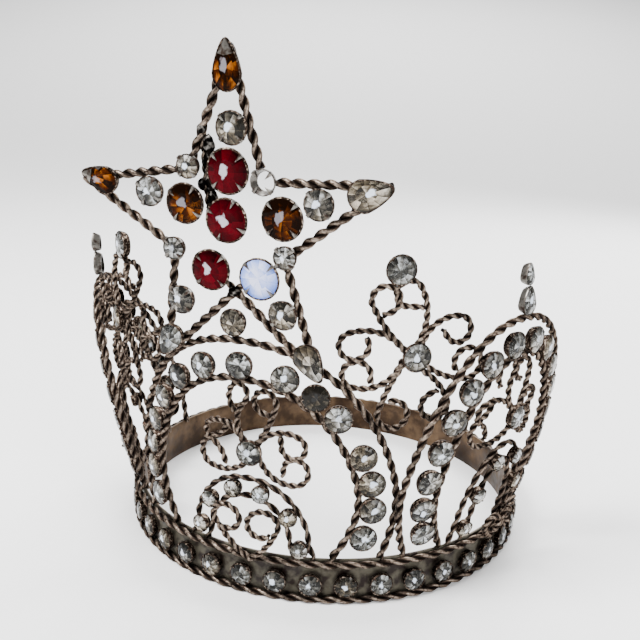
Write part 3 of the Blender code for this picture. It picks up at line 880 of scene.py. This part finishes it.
def oxidised_wire(graph, shader):
    """Brown oxidised brass: painted shade, near black, between the strands, and grey tan on their crests,
    partly wear where a hand touches it and partly a painted highlight.
    """
    place = object_place(graph)
    patches = graph.noise(place, 140.0).spread(0.35, 0.65)
    grain = graph.noise(place, 1500.0)
    outer = graph.own("outer")
    # The strands' crests are painted grey tan: partly wear, partly a painted highlight.
    worn_and_highlight = outer.spread(0.74, 1.0) * grain.spread(0.35, 0.6) * patches.spread(0.0, 1.0, 0.35, 1.0)
    # Painted shade: the grooves between the strands are painted near black, and rougher.
    shade_and_dirt = outer.spread(0.3, 0.86, 1.0, 0.0)
    colour = graph.blend(worn_and_highlight, graph.blend(patches, tone("brown"), tone("bronze")), tone("worn_and_highlight"))
    feed(graph, shader, {
        "Base Color": graph.blend(shade_and_dirt, colour, tone("shade_and_dirt")),
        "Roughness": grain.spread(0.3, 0.7, 0.28, 0.5) + shade_and_dirt * 0.25,
        "Metallic": worn_and_highlight.spread(0.0, 1.0, 0.75, 1.0),
        "Normal": bump(graph, grain, 0.35),
        **DULL_EDGES,
    })


def dark_collet(graph, shader):
    """Brown collets with bright scuffs."""
    place = object_place(graph)
    patches = graph.noise(place, 260.0)
    grain = graph.noise(place, 1700.0)
    colour = graph.blend(patches.spread(0.4, 0.6), tone("brown"), tone("bronze"))
    feed(graph, shader, {
        "Base Color": graph.blend(grain.spread(0.52, 0.66, 0.0, 0.8), colour, tone("worn_and_highlight")),
        "Roughness": patches.spread(0.3, 0.7, 0.3, 0.5),
        "Metallic": 0.85,
        "Normal": bump(graph, grain, 0.4),
        **DULL_EDGES,
    })


def band_sheet(graph, shader):
    """The band's brass sheet: dark outside, brown gold and mottled inside."""
    place = object_place(graph)
    radius = ((place - tuple(AXIS)) * (1.0, 1.0, 0.0)).length()
    outside = radius.spread(BAND_RADIUS - BAND_WALL * 0.7, BAND_RADIUS - BAND_WALL * 0.3)
    blotches = graph.noise(place, 75.0, 5.0)
    speckle = graph.noise(place, 420.0, 4.0)
    stops = [
        (0.30, tone("stain")), (0.46, tone("gold")), (0.60, tone("pale_gold")), (0.75, tone("green")),
    ]
    inner = graph.add("ShaderNodeValToRGB", {"stops": stops}, {"Fac": blotches * 0.7 + speckle * 0.3})
    outer = graph.blend(speckle.spread(0.38, 0.6), tone("stain"), tone("green"))
    feed(graph, shader, {
        "Base Color": graph.blend(outside, inner, outer),
        "Roughness": speckle.spread(0.3, 0.7, 0.32, 0.6),
        "Metallic": blotches.spread(0.3, 0.7, 0.9, 0.6),
        "Normal": bump(graph, speckle, 0.25, 0.0002),
    })


def grey_solder(graph, shader):
    """Lumps of grey solder."""
    grain = graph.noise(object_place(graph), 900.0)
    feed(graph, shader, {
        "Base Color": graph.blend(grain.spread(0.52, 0.72), tone("shade_and_dirt"), tone("solder")),
        "Roughness": grain.spread(0.3, 0.7, 0.25, 0.5),
        "Metallic": 0.9,
        "Normal": bump(graph, grain, 0.5, 0.0002),
        **DULL_EDGES,
    })


def claw_metal(graph, shader):
    """Pale worn metal of the star's claws and the pears' points."""
    patches = graph.noise(object_place(graph), 700.0)
    feed(graph, shader, {
        "Base Color": graph.blend(patches.spread(0.38, 0.56), tone("bronze"), tone("claw")),
        "Roughness": patches.spread(0.3, 0.7, 0.5, 0.25),
        "Metallic": 0.9,
        "Normal": bump(graph, patches, 0.3),
    })


# How a paste is cut and lit, all in painted light and shade. Stops place its dark, middle and bright colours,
# the dark and bright ones painted facet shade and light; glow paints light on a stone's lower half, rim paints
# shade on its edge, shine is how pale the painted reflection on its table is, and stained is how yellow it gets
Cut = namedtuple("Cut", "stops contrast brightness glow rim shine least_shine pale reflects stained")
CUTS = {
    "clear": Cut(
        stops=(0.18, 0.55, 0.98), contrast=0.95, brightness=-0.02, glow=0.0, rim=0.0,
        shine=0.9, least_shine=0.0, pale="painted_glint", reflects=0.12, stained=0.9,
    ),
    "red": Cut(
        stops=(0.10, 0.45, 0.95), contrast=0.35, brightness=0.0, glow=0.10, rim=0.15,
        shine=0.8, least_shine=0.8, pale="shine", reflects=0.02, stained=0.0,
    ),
    "amber": Cut(
        stops=(0.25, 0.55, 0.95), contrast=0.9, brightness=-0.06, glow=0.25, rim=0.25,
        shine=0.3, least_shine=0.3, pale="shine", reflects=0.02, stained=0.0,
    ),
    "opal": Cut(
        stops=(0.10, 0.40, 0.80), contrast=0.5, brightness=0.33, glow=0.0, rim=0.62,
        shine=0.0, least_shine=0.0, pale="shine", reflects=0.05, stained=0.0,
    ),
}


def paste(kind, graph, shader):
    """Foiled cut glass: the facets of the back show through, each with its own painted share of light and
    shade.
    """
    cut = CUTS[kind]
    colours = [tone(kind + part) for part in ("_dark", "_middle", "_bright")]
    spot, tint, gone_dark = graph.own("cut", "Vector"), graph.own("tint"), graph.own("dark")
    split = graph.add("ShaderNodeSeparateXYZ", {}, {0: spot}, output=None)
    x, y = Value(graph, split.outputs["X"]), Value(graph, split.outputs["Y"])
    aside, over = x + (tint - 0.5) * 0.3, y + (tint * 7.0).maths("FRACT") * 0.3 - 0.15
    angle = over.maths("ARCTAN2", aside) / (2 * pi)
    radius = (aside * aside + over * over).maths("SQRT")
    ring = (radius * 2.1).maths("FLOOR")
    wedge = angle * (ring * 4.0 + 7.0) + tint * 5.0
    facet = graph.add("ShaderNodeCombineXYZ", {}, {0: wedge.maths("FLOOR"), 1: ring, 2: tint * 100.0})
    chance = graph.add("ShaderNodeTexWhiteNoise", {}, {"Vector": facet}, output="Value")
    across = wedge.maths("FRACT")
    grain = graph.noise(spot + graph.add("ShaderNodeCombineXYZ", {}, {0: tint * 37.0}), 3.2, 2.0)
    varied = (chance - 0.5) * 0.85 + (across - 0.5) * 0.35 + (grain - 0.5) * 0.8
    # Painted light: the glow term brightens the stone's lower half.
    light = varied * cut.contrast + 0.45 + cut.brightness - gone_dark * 0.45 - y * cut.glow
    # Painted shade: the rim term darkens the stone towards its girdle.
    light = light - radius * radius * cut.rim
    # Painted shade: thin dark lines along the facets' edges, darker still near the girdle.
    edge = across.spread(0.0, 0.10) * radius.spread(0.80, 0.93, 1.0, 0.5)
    share = light * edge.spread(0.0, 1.0, 1.0 - 0.7 * cut.contrast, 1.0)
    colour = graph.add("ShaderNodeValToRGB", {"stops": list(zip(cut.stops, colours))}, {"Fac": share})
    if cut.stained:
        brown = ((tint * 13.0).maths("FRACT") - y * 0.3).spread(0.3, 0.9, 0.0, cut.stained)
        colour = graph.blend(brown, colour, tone("yellowed"), blend_type="MULTIPLY")
    # A painted reflection: a pale patch on the table, a little left of and above its middle, stronger on some
    # stones than on others.
    if cut.shine:
        aside, over = x + 0.10, y - 0.06
        patch = (aside * aside + over * over * 0.6).maths("SQRT") + (grain - 0.5) * 0.5
        seen = (tint * 29.0).maths("FRACT").spread(0.25, 0.45, cut.least_shine, cut.shine)
        colour = graph.blend(seen - patch.spread(0.16, 0.22) * seen, colour, tone(cut.pale))
    feed(graph, shader, {"Base Color": colour, "Roughness": 0.07, "Specular IOR Level": cut.reflects})


SURFACES = {
    "oxidised wire": oxidised_wire,
    "dark collet": dark_collet,
    "band sheet": band_sheet,
    "solder": grey_solder,
    "claw metal": claw_metal,
    **{kind + " paste": partial(paste, kind) for kind in CUTS},
}


def surface(name):
    """A material of this crown, made on first use."""
    if name not in bpy.data.materials:
        made = bpy.data.materials.new(name)
        made.use_nodes = True
        SURFACES[name](Graph(made.node_tree), made.node_tree.nodes["Principled BSDF"])
    return bpy.data.materials[name]


# Properties


def twist_property(label, wires, default):
    return bpy.props.FloatProperty(
        name=label, description=f"Length of one full turn of the {wires}", default=default,
        min=0.002, max=0.02, unit="LENGTH",
    )


def colour_property(label, description, default):
    return bpy.props.FloatVectorProperty(
        name=label, description=description, subtype="COLOR", size=3, min=0.0, max=1.0, default=default
    )


class CrownSizes(bpy.types.PropertyGroup):
    """Sizes of the crown's finer work"""

    arch_pitch: twist_property("Arch twist", "arches' wires", 0.0070)
    scroll_pitch: twist_property("Scroll twist", "scrolls' wires", 0.0044)
    small_pitch: twist_property("Low horseshoe twist", "low horseshoes' wires", 0.0072)
    band_pitch: twist_property("Band twist", "band's ropes", 0.0088)
    star_pitch: twist_property("Star twist", "star's wires", 0.0066)
    unevenness: bpy.props.FloatProperty(
        name="Sheet's unevenness", description="How far the band's sheet is bent in and out", default=0.0003,
        min=0.0, max=0.001, unit="LENGTH",
    )


class CrownColours(bpy.types.PropertyGroup):
    """Colours of the crown's metal and stones"""

    brown: colour_property("Brown", "Oxidised brass", (0.0085, 0.0054, 0.0040))
    bronze: colour_property("Bronze", "Lighter patches of the oxidised brass", (0.028, 0.0178, 0.0130))
    # On the wires' crests this is partly wear and partly a painted highlight; on the collets it is scuffs
    worn_and_highlight: colour_property("Worn", "Metal where the patina has rubbed off", (0.31, 0.245, 0.195))
    # Painted shade between the wires' strands, and a dark mottling on the solder
    shade_and_dirt: colour_property("Groove", "Dirt between strands", (0.0015, 0.0011, 0.0010))
    stain: colour_property("Stain", "Dark stains inside the band", (0.007, 0.003, 0.0018))
    gold: colour_property("Gold", "Brown gold inside the band", (0.028, 0.0145, 0.0065))
    pale_gold: colour_property("Pale gold", "Lighter gold inside the band", (0.095, 0.056, 0.028))
    green: colour_property("Green brown", "Greenish stains inside the band", (0.062, 0.055, 0.040))
    solder: colour_property("Solder", "Solder at the joints", (0.20, 0.185, 0.17))
    claw: colour_property("Claws", "Pale metal of the star's claws", (0.15, 0.14, 0.125))
    # The dark and bright colours of each paste below are painted facet shade and painted facet light round its
    # middle colour.
    clear_dark: colour_property("Clear, dark facets", "Dark facets of clear paste", (0.006, 0.006, 0.0055))
    clear_middle: colour_property("Clear, middle", "Middle facets of clear paste", (0.074, 0.071, 0.062))
    clear_bright: colour_property("Clear, bright", "Bright facets of clear paste", (0.50, 0.52, 0.53))
    # Painted reflection: the pale patch painted on a clear stone's table
    painted_glint: colour_property("Glint", "Pale patch on a clear stone's table", (0.62, 0.68, 0.78))
    yellowed: colour_property("Yellowed", "What stained clear stones are tinted with", (0.85, 0.69, 0.50))
    red_dark: colour_property("Red, dark facets", "Dark facets of red paste", (0.004, 0.0002, 0.0005))
    red_middle: colour_property("Red", "Middle facets of red paste", (0.040, 0.0004, 0.0022))
    red_bright: colour_property("Red, bright", "Bright facets of red paste", (0.11, 0.0012, 0.0060))
    amber_dark: colour_property("Amber, dark facets", "Dark facets of amber paste", (0.0035, 0.0012, 0.0004))
    amber_middle: colour_property("Amber", "Middle facets of amber paste", (0.036, 0.0075, 0.0007))
    amber_bright: colour_property("Amber, bright", "Bright facets of amber paste", (0.25, 0.075, 0.007))
    # Painted reflection: the pale patch painted on a coloured stone's table
    shine: colour_property("Shine", "Pale patch on a coloured stone's table", (0.42, 0.40, 0.45))
    opal_dark: colour_property("Opal, dark facets", "Bluish facets of the milky stone", (0.06, 0.12, 0.42))
    opal_middle: colour_property("Opal", "Middle facets of the milky stone", (0.20, 0.28, 0.62))
    opal_bright: colour_property("Opal, bright", "Bright facets of the milky stone", (0.52, 0.55, 0.74))


# Operators


class CROWN_OT_band(bpy.types.Operator):
    """Make the band's sheet with its row of stones"""

    bl_idname = "crown.band"
    bl_label = "Band"

    def execute(self, context):
        middle = BAND_RADIUS - BAND_WALL / 2
        values = {
            "Radius": middle, "Height": BAND_HEIGHT, "Wall": BAND_WALL,
            "Unevenness": context.scene.crown_sizes.unevenness, "Material": surface("band sheet"),
        }
        mesh = grow(linked("sheet", bpy.data.meshes.new("sheet")), "sheet ring", values)
        mesh.transform(Matrix.Translation(AXIS + Vector((0, 0, BAND_HEIGHT / 2))))
        smoothed(mesh, SHEET_CREASE)
        piece("band_sheet", mesh, ["band"])
        height = GAP + BAND_ROPE + GAP + BAND_STONE / 2
        placed = []
        for count in range(-BAND_STONES_EACH_SIDE, BAND_STONES_EACH_SIDE + 1):
            spot = band_matrix(FRONT.azimuth + count * BAND_STONE_PITCH, middle, height)
            placed.append(round_stone(spot, BAND_STONE, dark=BAND_STONES_DARK))
        set_stones("band_stones", placed, "clear", ["band"])
        return {"FINISHED"}


class CROWN_OT_ropes(bpy.types.Operator):
    """Make the two twisted ropes round the band"""

    bl_idname = "crown.ropes"
    bl_label = "Band ropes"

    def execute(self, context):
        heights = {"lower_rope": GAP + BAND_ROPE / 2, "upper_rope": BAND_HEIGHT - UPPER_ROPE_DROP}
        radius = BAND_RADIUS + GAP / 3 + BAND_ROPE / 2
        pitch = context.scene.crown_sizes.band_pitch
        for node, height in heights.items():
            angles = np.linspace(0, 2 * pi, RING_STEPS, endpoint=False)
            path = [band_matrix(angle, radius, height).translation for angle in angles]
            rope(node + "_twisted", [path], BAND_ROPE, pitch, [node], True, BAND_LOBES)
        return {"FINISHED"}


def footed(path):
    """A path whose two feet run down into the band's edge."""
    first, last = path[0], path[-1]
    return np.vstack([[first[0], first[1] - FOOT_SINK], path, [last[0], last[1] - FOOT_SINK]])


def on_panel(panel, path, shift=0.0):
    return [place_on(panel, across + shift, rise).translation for across, rise in path]


def scroll_paths(scrolls, size, place, lift=0.0, root=0.0):
    """Each scroll's path, laid out by the place function."""
    return [[place(*point).translation for point in walk(scroll, size, lift, root)] for scroll in scrolls]


class CROWN_OT_arches(bpy.types.Operator):
    """Make the tall horseshoes: outer wire, inner wire and the row of stones between"""

    bl_idname = "crown.arches"
    bl_label = "Tall horseshoes"

    def execute(self, context):
        pitch = context.scene.crown_sizes.arch_pitch
        for panel in PANELS:
            outer = on_panel(panel, footed(horseshoe(panel.arch)))
            rope(panel.name + "_arch_rope", [outer], ARCH_ROPE, pitch, [panel.name + "_arch_wire"])
            inner = horseshoe(inset(panel.arch, panel.foot_spread, ROW_WIDTH))
            node = panel.name + "_stone_row"
            rope(panel.name + "_row_rope", [on_panel(panel, footed(inner))], ARCH_ROPE, pitch, [node])
            row = offset(inner, (ROW_STONE + ARCH_ROPE) / 2 - SOLDER)
            runs = np.gradient(row, axis=0)
            placed = []
            spots = zip(along_path(row, panel.row), along_path(row, panel.row, runs))
            for index, (spot, run) in enumerate(spots):
                to_wire = Matrix.Rotation(atan2(run[1], run[0]), 4, "Z")
                dark = SMOKY.get(index, 0.0) if panel is FRONT else 0.0
                place = place_on(panel, *spot, -ARCH_ROPE / 2) @ to_wire
                placed.append(round_stone(place, ROW_STONE, dark=dark))
            set_stones(panel.name + "_row_stones", placed, "clear", [node])
        return {"FINISHED"}


class CROWN_OT_small_arches(bpy.types.Operator):
    """Make the low horseshoes with their stones in deep cups"""

    bl_idname = "crown.small_arches"
    bl_label = "Low horseshoes"

    def execute(self, context):
        for panel in PANELS:
            outer = horseshoe(panel.small_arch)
            inner = horseshoe(inset(panel.small_arch, SMALL_ROW_WIDTH, SMALL_ROW_WIDTH))
            node = panel.name + "_small_arch"
            paths = [on_panel(panel, footed(path), panel.small_shift) for path in (outer, inner)]
            rope(node + "_rope", paths, SCROLL_ROPE, context.scene.crown_sizes.small_pitch, [node])
            placed = []
            for across, rise in along_path((outer + inner) / 2, SMALL_ROW):
                spot = place_on(panel, across + panel.small_shift, rise)
                placed.append(round_stone(spot, SMALL_STONE, SMALL_SETTING, SMALL_STONES_DARK))
            set_stones(node + "_stones", placed, "clear", [node])
        return {"FINISHED"}


class CROWN_OT_fleurons(bpy.types.Operator):
    """Make the six scrolls round a stone over each low horseshoe, and the heart inside it"""

    bl_idname = "crown.fleurons"
    bl_label = "Fleurons and hearts"

    def execute(self, context):
        pitch = context.scene.crown_sizes.scroll_pitch
        depth = -(ARCH_ROPE + SCROLL_ROPE) / 2 - GAP
        front = BAND_WALL / 2 + GAP + BAND_ROPE + GAP + SCROLL_ROPE / 2
        for panel in PANELS:
            centre, size = fleuron_rise(panel)

            def behind(across, rise, proud):
                return place_on(panel, panel.fleuron_shift + across, centre + rise, depth - proud)

            def before(across, rise, proud):
                return place_on(panel, panel.small_shift + across, rise, front + proud)

            node = panel.name + "_fleuron"
            paths = scroll_paths(FLEURON, size, behind, SCROLL_LIFT, FLEURON_STONE / 4)
            rope(node + "_scrolls", paths, SCROLL_ROPE, pitch, [node])
            spot = place_on(panel, panel.fleuron_shift, centre, depth - SCROLL_ROPE / 2)
            set_stones(node + "_stone", [round_stone(spot, FLEURON_STONE)], "clear", [node])
            node = panel.name + "_heart"
            size = (panel.small_arch.widest - SMALL_ROW_WIDTH) * HEART_SHARE
            paths = scroll_paths(HEART, size, before, SCROLL_LIFT)
            rope(node + "_scrolls", paths, SCROLL_ROPE, pitch, [node])
        return {"FINISHED"}


class CROWN_OT_shoulders(bpy.types.Operator):
    """Make the eight scrolls round a stone between the front and each side horseshoe"""

    bl_idname = "crown.shoulders"
    bl_label = "Shoulder fleurons"

    def execute(self, context):
        pitch = context.scene.crown_sizes.scroll_pitch
        for name, side, centre in (
            ("right_shoulder_fleuron", 1, SHOULDER_RISE),
            ("left_shoulder_fleuron", -1, SHOULDER_RISE - SHOULDER_DROP_LEFT),
        ):
            def place(across, rise, proud):
                return shoulder_matrix(side, across, centre + rise)

            paths = scroll_paths(SHOULDER_FLEURON, SHOULDER_SIZE, place, root=SHOULDER_STONES[0][1] / 4)
            rope(name + "_scrolls", paths, SCROLL_ROPE, pitch, [name])
            placed = []
            for (across, rise), width in SHOULDER_STONES:
                spot = (across * SHOULDER_SIZE / 100, centre + rise * SHOULDER_SIZE / 100)
                placed.append(round_stone(shoulder_matrix(side, *spot, -SCROLL_ROPE / 2), width))
            set_stones(name + "_stones", placed, "clear", [name])
        return {"FINISHED"}


class CROWN_OT_star(bpy.types.Operator):
    """Make the star's twisted outline and its stones"""

    bl_idname = "crown.star"
    bl_label = "Star"

    def execute(self, context):
        sizes = context.scene.crown_sizes
        corners = [
            Vector((cos(radians(degrees)), sin(radians(degrees)))) * share * STAR_RADIUS
            for degrees, share in STAR_CORNERS
        ]
        paths = []
        for index, (start, end) in enumerate(zip(corners, corners[1:] + corners[:1])):
            along = (end - start).normalized()
            short = EMPTY_SETTING.width / 2
            first = start + along * (short if index == EMPTY_CORNER else -STAR_ROPE / 4)
            last = end - along * (short if index + 1 == EMPTY_CORNER else -STAR_ROPE / 4)
            paths.append([star_matrix(*spot).translation for spot in (first, last)])
        rope("star_outline", paths, STAR_ROPE, sizes.star_pitch, ["star_frame"])
        paths = [[star_spot(place).translation for place in brace] for brace in STAR_BRACES]
        rope("star_braces", paths, SCROLL_ROPE, sizes.scroll_pitch, ["star_frame"])
        for colour, stones in STAR_STONES.items():
            placed = [self.place(one) for one in stones]
            nodes = [one.name for one in stones]
            name = "star_" + colour + "_stones"
            set_stones(name, placed, colour, nodes, broad_claw_size, "claw metal")
            if colour == "amber":
                pears = [one for one in placed if one.length != one.width]
                set_forms("star_amber_tips", pears, pear_tip, setting_size, "claw metal", ())
        self.add_empty_setting()
        self.add_solder()
        return {"FINISHED"}

    def place(self, one):
        spot = star_spot(one.place, STAR_ROPE / 2 + GAP, one.turn)
        return Placed(spot, one.width, one.length, COLLET, 0.0)

    def add_empty_setting(self):
        """The open collet whose stone is lost."""
        placed, nodes = [self.place(EMPTY_SETTING)], [EMPTY_SETTING.name]
        set_forms("star_empty_collet", placed, collet, setting_size, "claw metal", nodes, True)
        set_forms(
            "star_empty_claws", claws_of(placed), claw, broad_claw_size, "claw metal", (), True
        )

    def add_solder(self):
        """Lumps of solder where the star's wires and settings meet."""
        placed = []
        for *place, wide, tall, back in STAR_SOLDER:
            wide, tall, back = (share * STAR_RADIUS / 100 for share in (wide, tall, back))
            placed.append(Placed(star_spot(place, back), wide, tall, LUMP_RISE, 0.0))
        set_forms("star_solder", placed, lump, setting_size, "solder", ["star_frame"], True)


class CROWN_OT_finials(bpy.types.Operator):
    """Make the stone under the star and the pear and drop on each side horseshoe"""

    bl_idname = "crown.finials"
    bl_label = "Crest stone and finials"

    def execute(self, context):
        rise = FRONT.arch.apex + ARCH_ROPE / 2 + GAP + CREST_STONE / 2
        spot = place_on(FRONT, STAR_SHIFT, rise, -ARCH_ROPE / 2)
        set_stones("crest", [round_stone(spot, CREST_STONE)], "clear", ["crest_stone"])
        for panel in (RIGHT, LEFT):
            placed = []
            rise = panel.arch.apex + ARCH_ROPE / 2 + GAP
            for wide, tall in (FINIAL_PEAR, FINIAL_DROP):
                spot = place_on(panel, 0, rise + tall / 2, -ARCH_ROPE / 2)
                placed.append(Placed(spot, wide, tall, COLLET, 0.0))
                rise += tall + GAP
            nodes = [panel.name + "_finial_pear", panel.name + "_finial_drop"]
            set_stones(panel.name + "_finial", placed, "clear", nodes, pear_collets="claw metal")
        return {"FINISHED"}


# Camera, fitted to the photograph, about the crown's own axis
CAMERA_AZIMUTH = radians(22.980)
CAMERA_PITCH = radians(14.982)
CAMERA_ROLL = radians(2.337)
CAMERA_DISTANCE = 0.227102
CAMERA_AIM = (-0.003422, 0.054742)
CAMERA_LENS = 44.536
SENSOR = 36.0
CLIP_START = 0.01
# The floor reaches this far to the sides, starts to sweep up at this depth and bends with this radius
FLOOR_REACH = 8.0
FLOOR_DEPTH = 0.8
FLOOR_BEND = 7.0
FLOOR_STEPS = 24
FLOOR_COLOUR = (0.92, 0.92, 0.92, 1.0)
FLOOR_ROUGHNESS = 0.8
# Lights: name, place, size and power. All look at this height on the crown's axis
LIGHTS = (
    ("key", (-0.35, -0.45, 0.65), 0.35, 18.0),
    ("fill", (0.60, -0.35, 0.30), 0.30, 5.0),
    ("back", (0.15, 0.60, 0.50), 0.50, 8.0),
    ("far", (-1.0, 2.6, 2.6), 2.5, 190.0),
)
LIGHT_AIM = 0.06
WORLD_COLOUR = (1.0, 1.0, 1.0, 1.0)
WORLD_STRENGTH = 0.45


class CROWN_OT_stage(bpy.types.Operator):
    """Make the floor, the light and the camera"""

    bl_idname = "crown.stage"
    bl_label = "Stage"

    def execute(self, context):
        self.add_camera(context.scene)
        self.add_floor()
        for light in LIGHTS:
            self.add_light(*light)
        world = bpy.data.worlds.new("studio")
        world.use_nodes = True
        background = world.node_tree.nodes["Background"]
        background.inputs["Color"].default_value = WORLD_COLOUR
        background.inputs["Strength"].default_value = WORLD_STRENGTH
        context.scene.world = world
        return {"FINISHED"}

    def add_camera(self, scene):
        turned_by, pitch = CAMERA_AZIMUTH, CAMERA_PITCH
        back = Vector((sin(turned_by) * cos(pitch), -cos(turned_by) * cos(pitch), sin(pitch)))
        right = directions(turned_by)[1]
        up = back.cross(right)
        aim = AXIS + right * CAMERA_AIM[0] + Vector((0, 0, CAMERA_AIM[1]))
        x_axis = right * cos(CAMERA_ROLL) + up * sin(CAMERA_ROLL)
        y_axis = up * cos(CAMERA_ROLL) - right * sin(CAMERA_ROLL)
        data = bpy.data.cameras.new("camera")
        data.lens, data.sensor_width, data.clip_start = CAMERA_LENS, SENSOR, CLIP_START
        camera = linked("camera", data)
        turn = Matrix((x_axis, y_axis, back)).transposed().to_4x4()
        camera.matrix_world = Matrix.Translation(aim + back * CAMERA_DISTANCE) @ turn
        scene.camera = camera

    def add_floor(self):
        """A pale floor that sweeps up far behind the crown, so that no edge is seen."""
        bend = [
            (FLOOR_DEPTH + FLOOR_BEND * sin(angle), FLOOR_BEND * (1 - cos(angle)))
            for angle in np.linspace(0, pi / 2, FLOOR_STEPS)
        ]
        outline = [(-FLOOR_REACH, 0.0), *bend, (FLOOR_DEPTH + FLOOR_BEND, FLOOR_REACH)]
        count = len(outline)
        corners = [(side * FLOOR_REACH, depth, height) for side in (-1, 1) for depth, height in outline]
        faces = [(row + count, row + count + 1, row + 1, row) for row in range(count - 1)]
        mesh = bpy.data.meshes.new("floor")
        mesh.from_pydata(corners, [], faces)
        mesh.transform(Matrix.Rotation(CAMERA_AZIMUTH, 4, "Z"))
        mesh.shade_smooth()
        pale = bpy.data.materials.new("pale floor")
        pale.use_nodes = True
        shader = pale.node_tree.nodes["Principled BSDF"]
        shader.inputs["Base Color"].default_value = FLOOR_COLOUR
        shader.inputs["Roughness"].default_value = FLOOR_ROUGHNESS
        mesh.materials.append(pale)
        floor = linked("floor", mesh)

    def add_light(self, name, place, size, power):
        data = bpy.data.lights.new(name, "AREA")
        data.size, data.energy = size, power
        toward = AXIS + Vector((0, 0, LIGHT_AIM)) - Vector(place)
        turn = toward.to_track_quat("-Z", "Y").to_matrix().to_4x4()
        linked(name, data).matrix_world = Matrix.Translation(place) @ turn


OPERATORS = (
    CROWN_OT_stage, CROWN_OT_band, CROWN_OT_ropes, CROWN_OT_arches, CROWN_OT_small_arches, CROWN_OT_fleurons,
    CROWN_OT_shoulders, CROWN_OT_star, CROWN_OT_finials,
)


class CROWN_PT_panel(bpy.types.Panel):
    """The crown's pieces and settings"""

    bl_idname = "CROWN_PT_panel"
    bl_label = "Ceremonial crown"
    bl_space_type = "VIEW_3D"
    bl_region_type = "UI"
    bl_category = "Crown"

    def draw(self, context):
        for group in (context.scene.crown_sizes, context.scene.crown_colours):
            for name in group.__annotations__:
                self.layout.prop(group, name)
        for operator in OPERATORS:
            self.layout.operator(operator.bl_idname)


CLASSES = (CrownSizes, CrownColours, *OPERATORS, CROWN_PT_panel)


def register():
    for cls in CLASSES:
        bpy.utils.register_class(cls)
    bpy.types.Scene.crown_sizes = bpy.props.PointerProperty(type=CrownSizes)
    bpy.types.Scene.crown_colours = bpy.props.PointerProperty(type=CrownColours)


def unregister():
    del bpy.types.Scene.crown_colours
    del bpy.types.Scene.crown_sizes
    for cls in reversed(CLASSES):
        bpy.utils.unregister_class(cls)


def main():
    register()
    bpy.ops.crown.stage()
    bpy.ops.crown.band()
    bpy.ops.crown.ropes()
    bpy.ops.crown.arches()
    bpy.ops.crown.small_arches()
    bpy.ops.crown.fleurons()
    bpy.ops.crown.shoulders()
    bpy.ops.crown.star()
    bpy.ops.crown.finials()


if __name__ == "__main__":
    main()
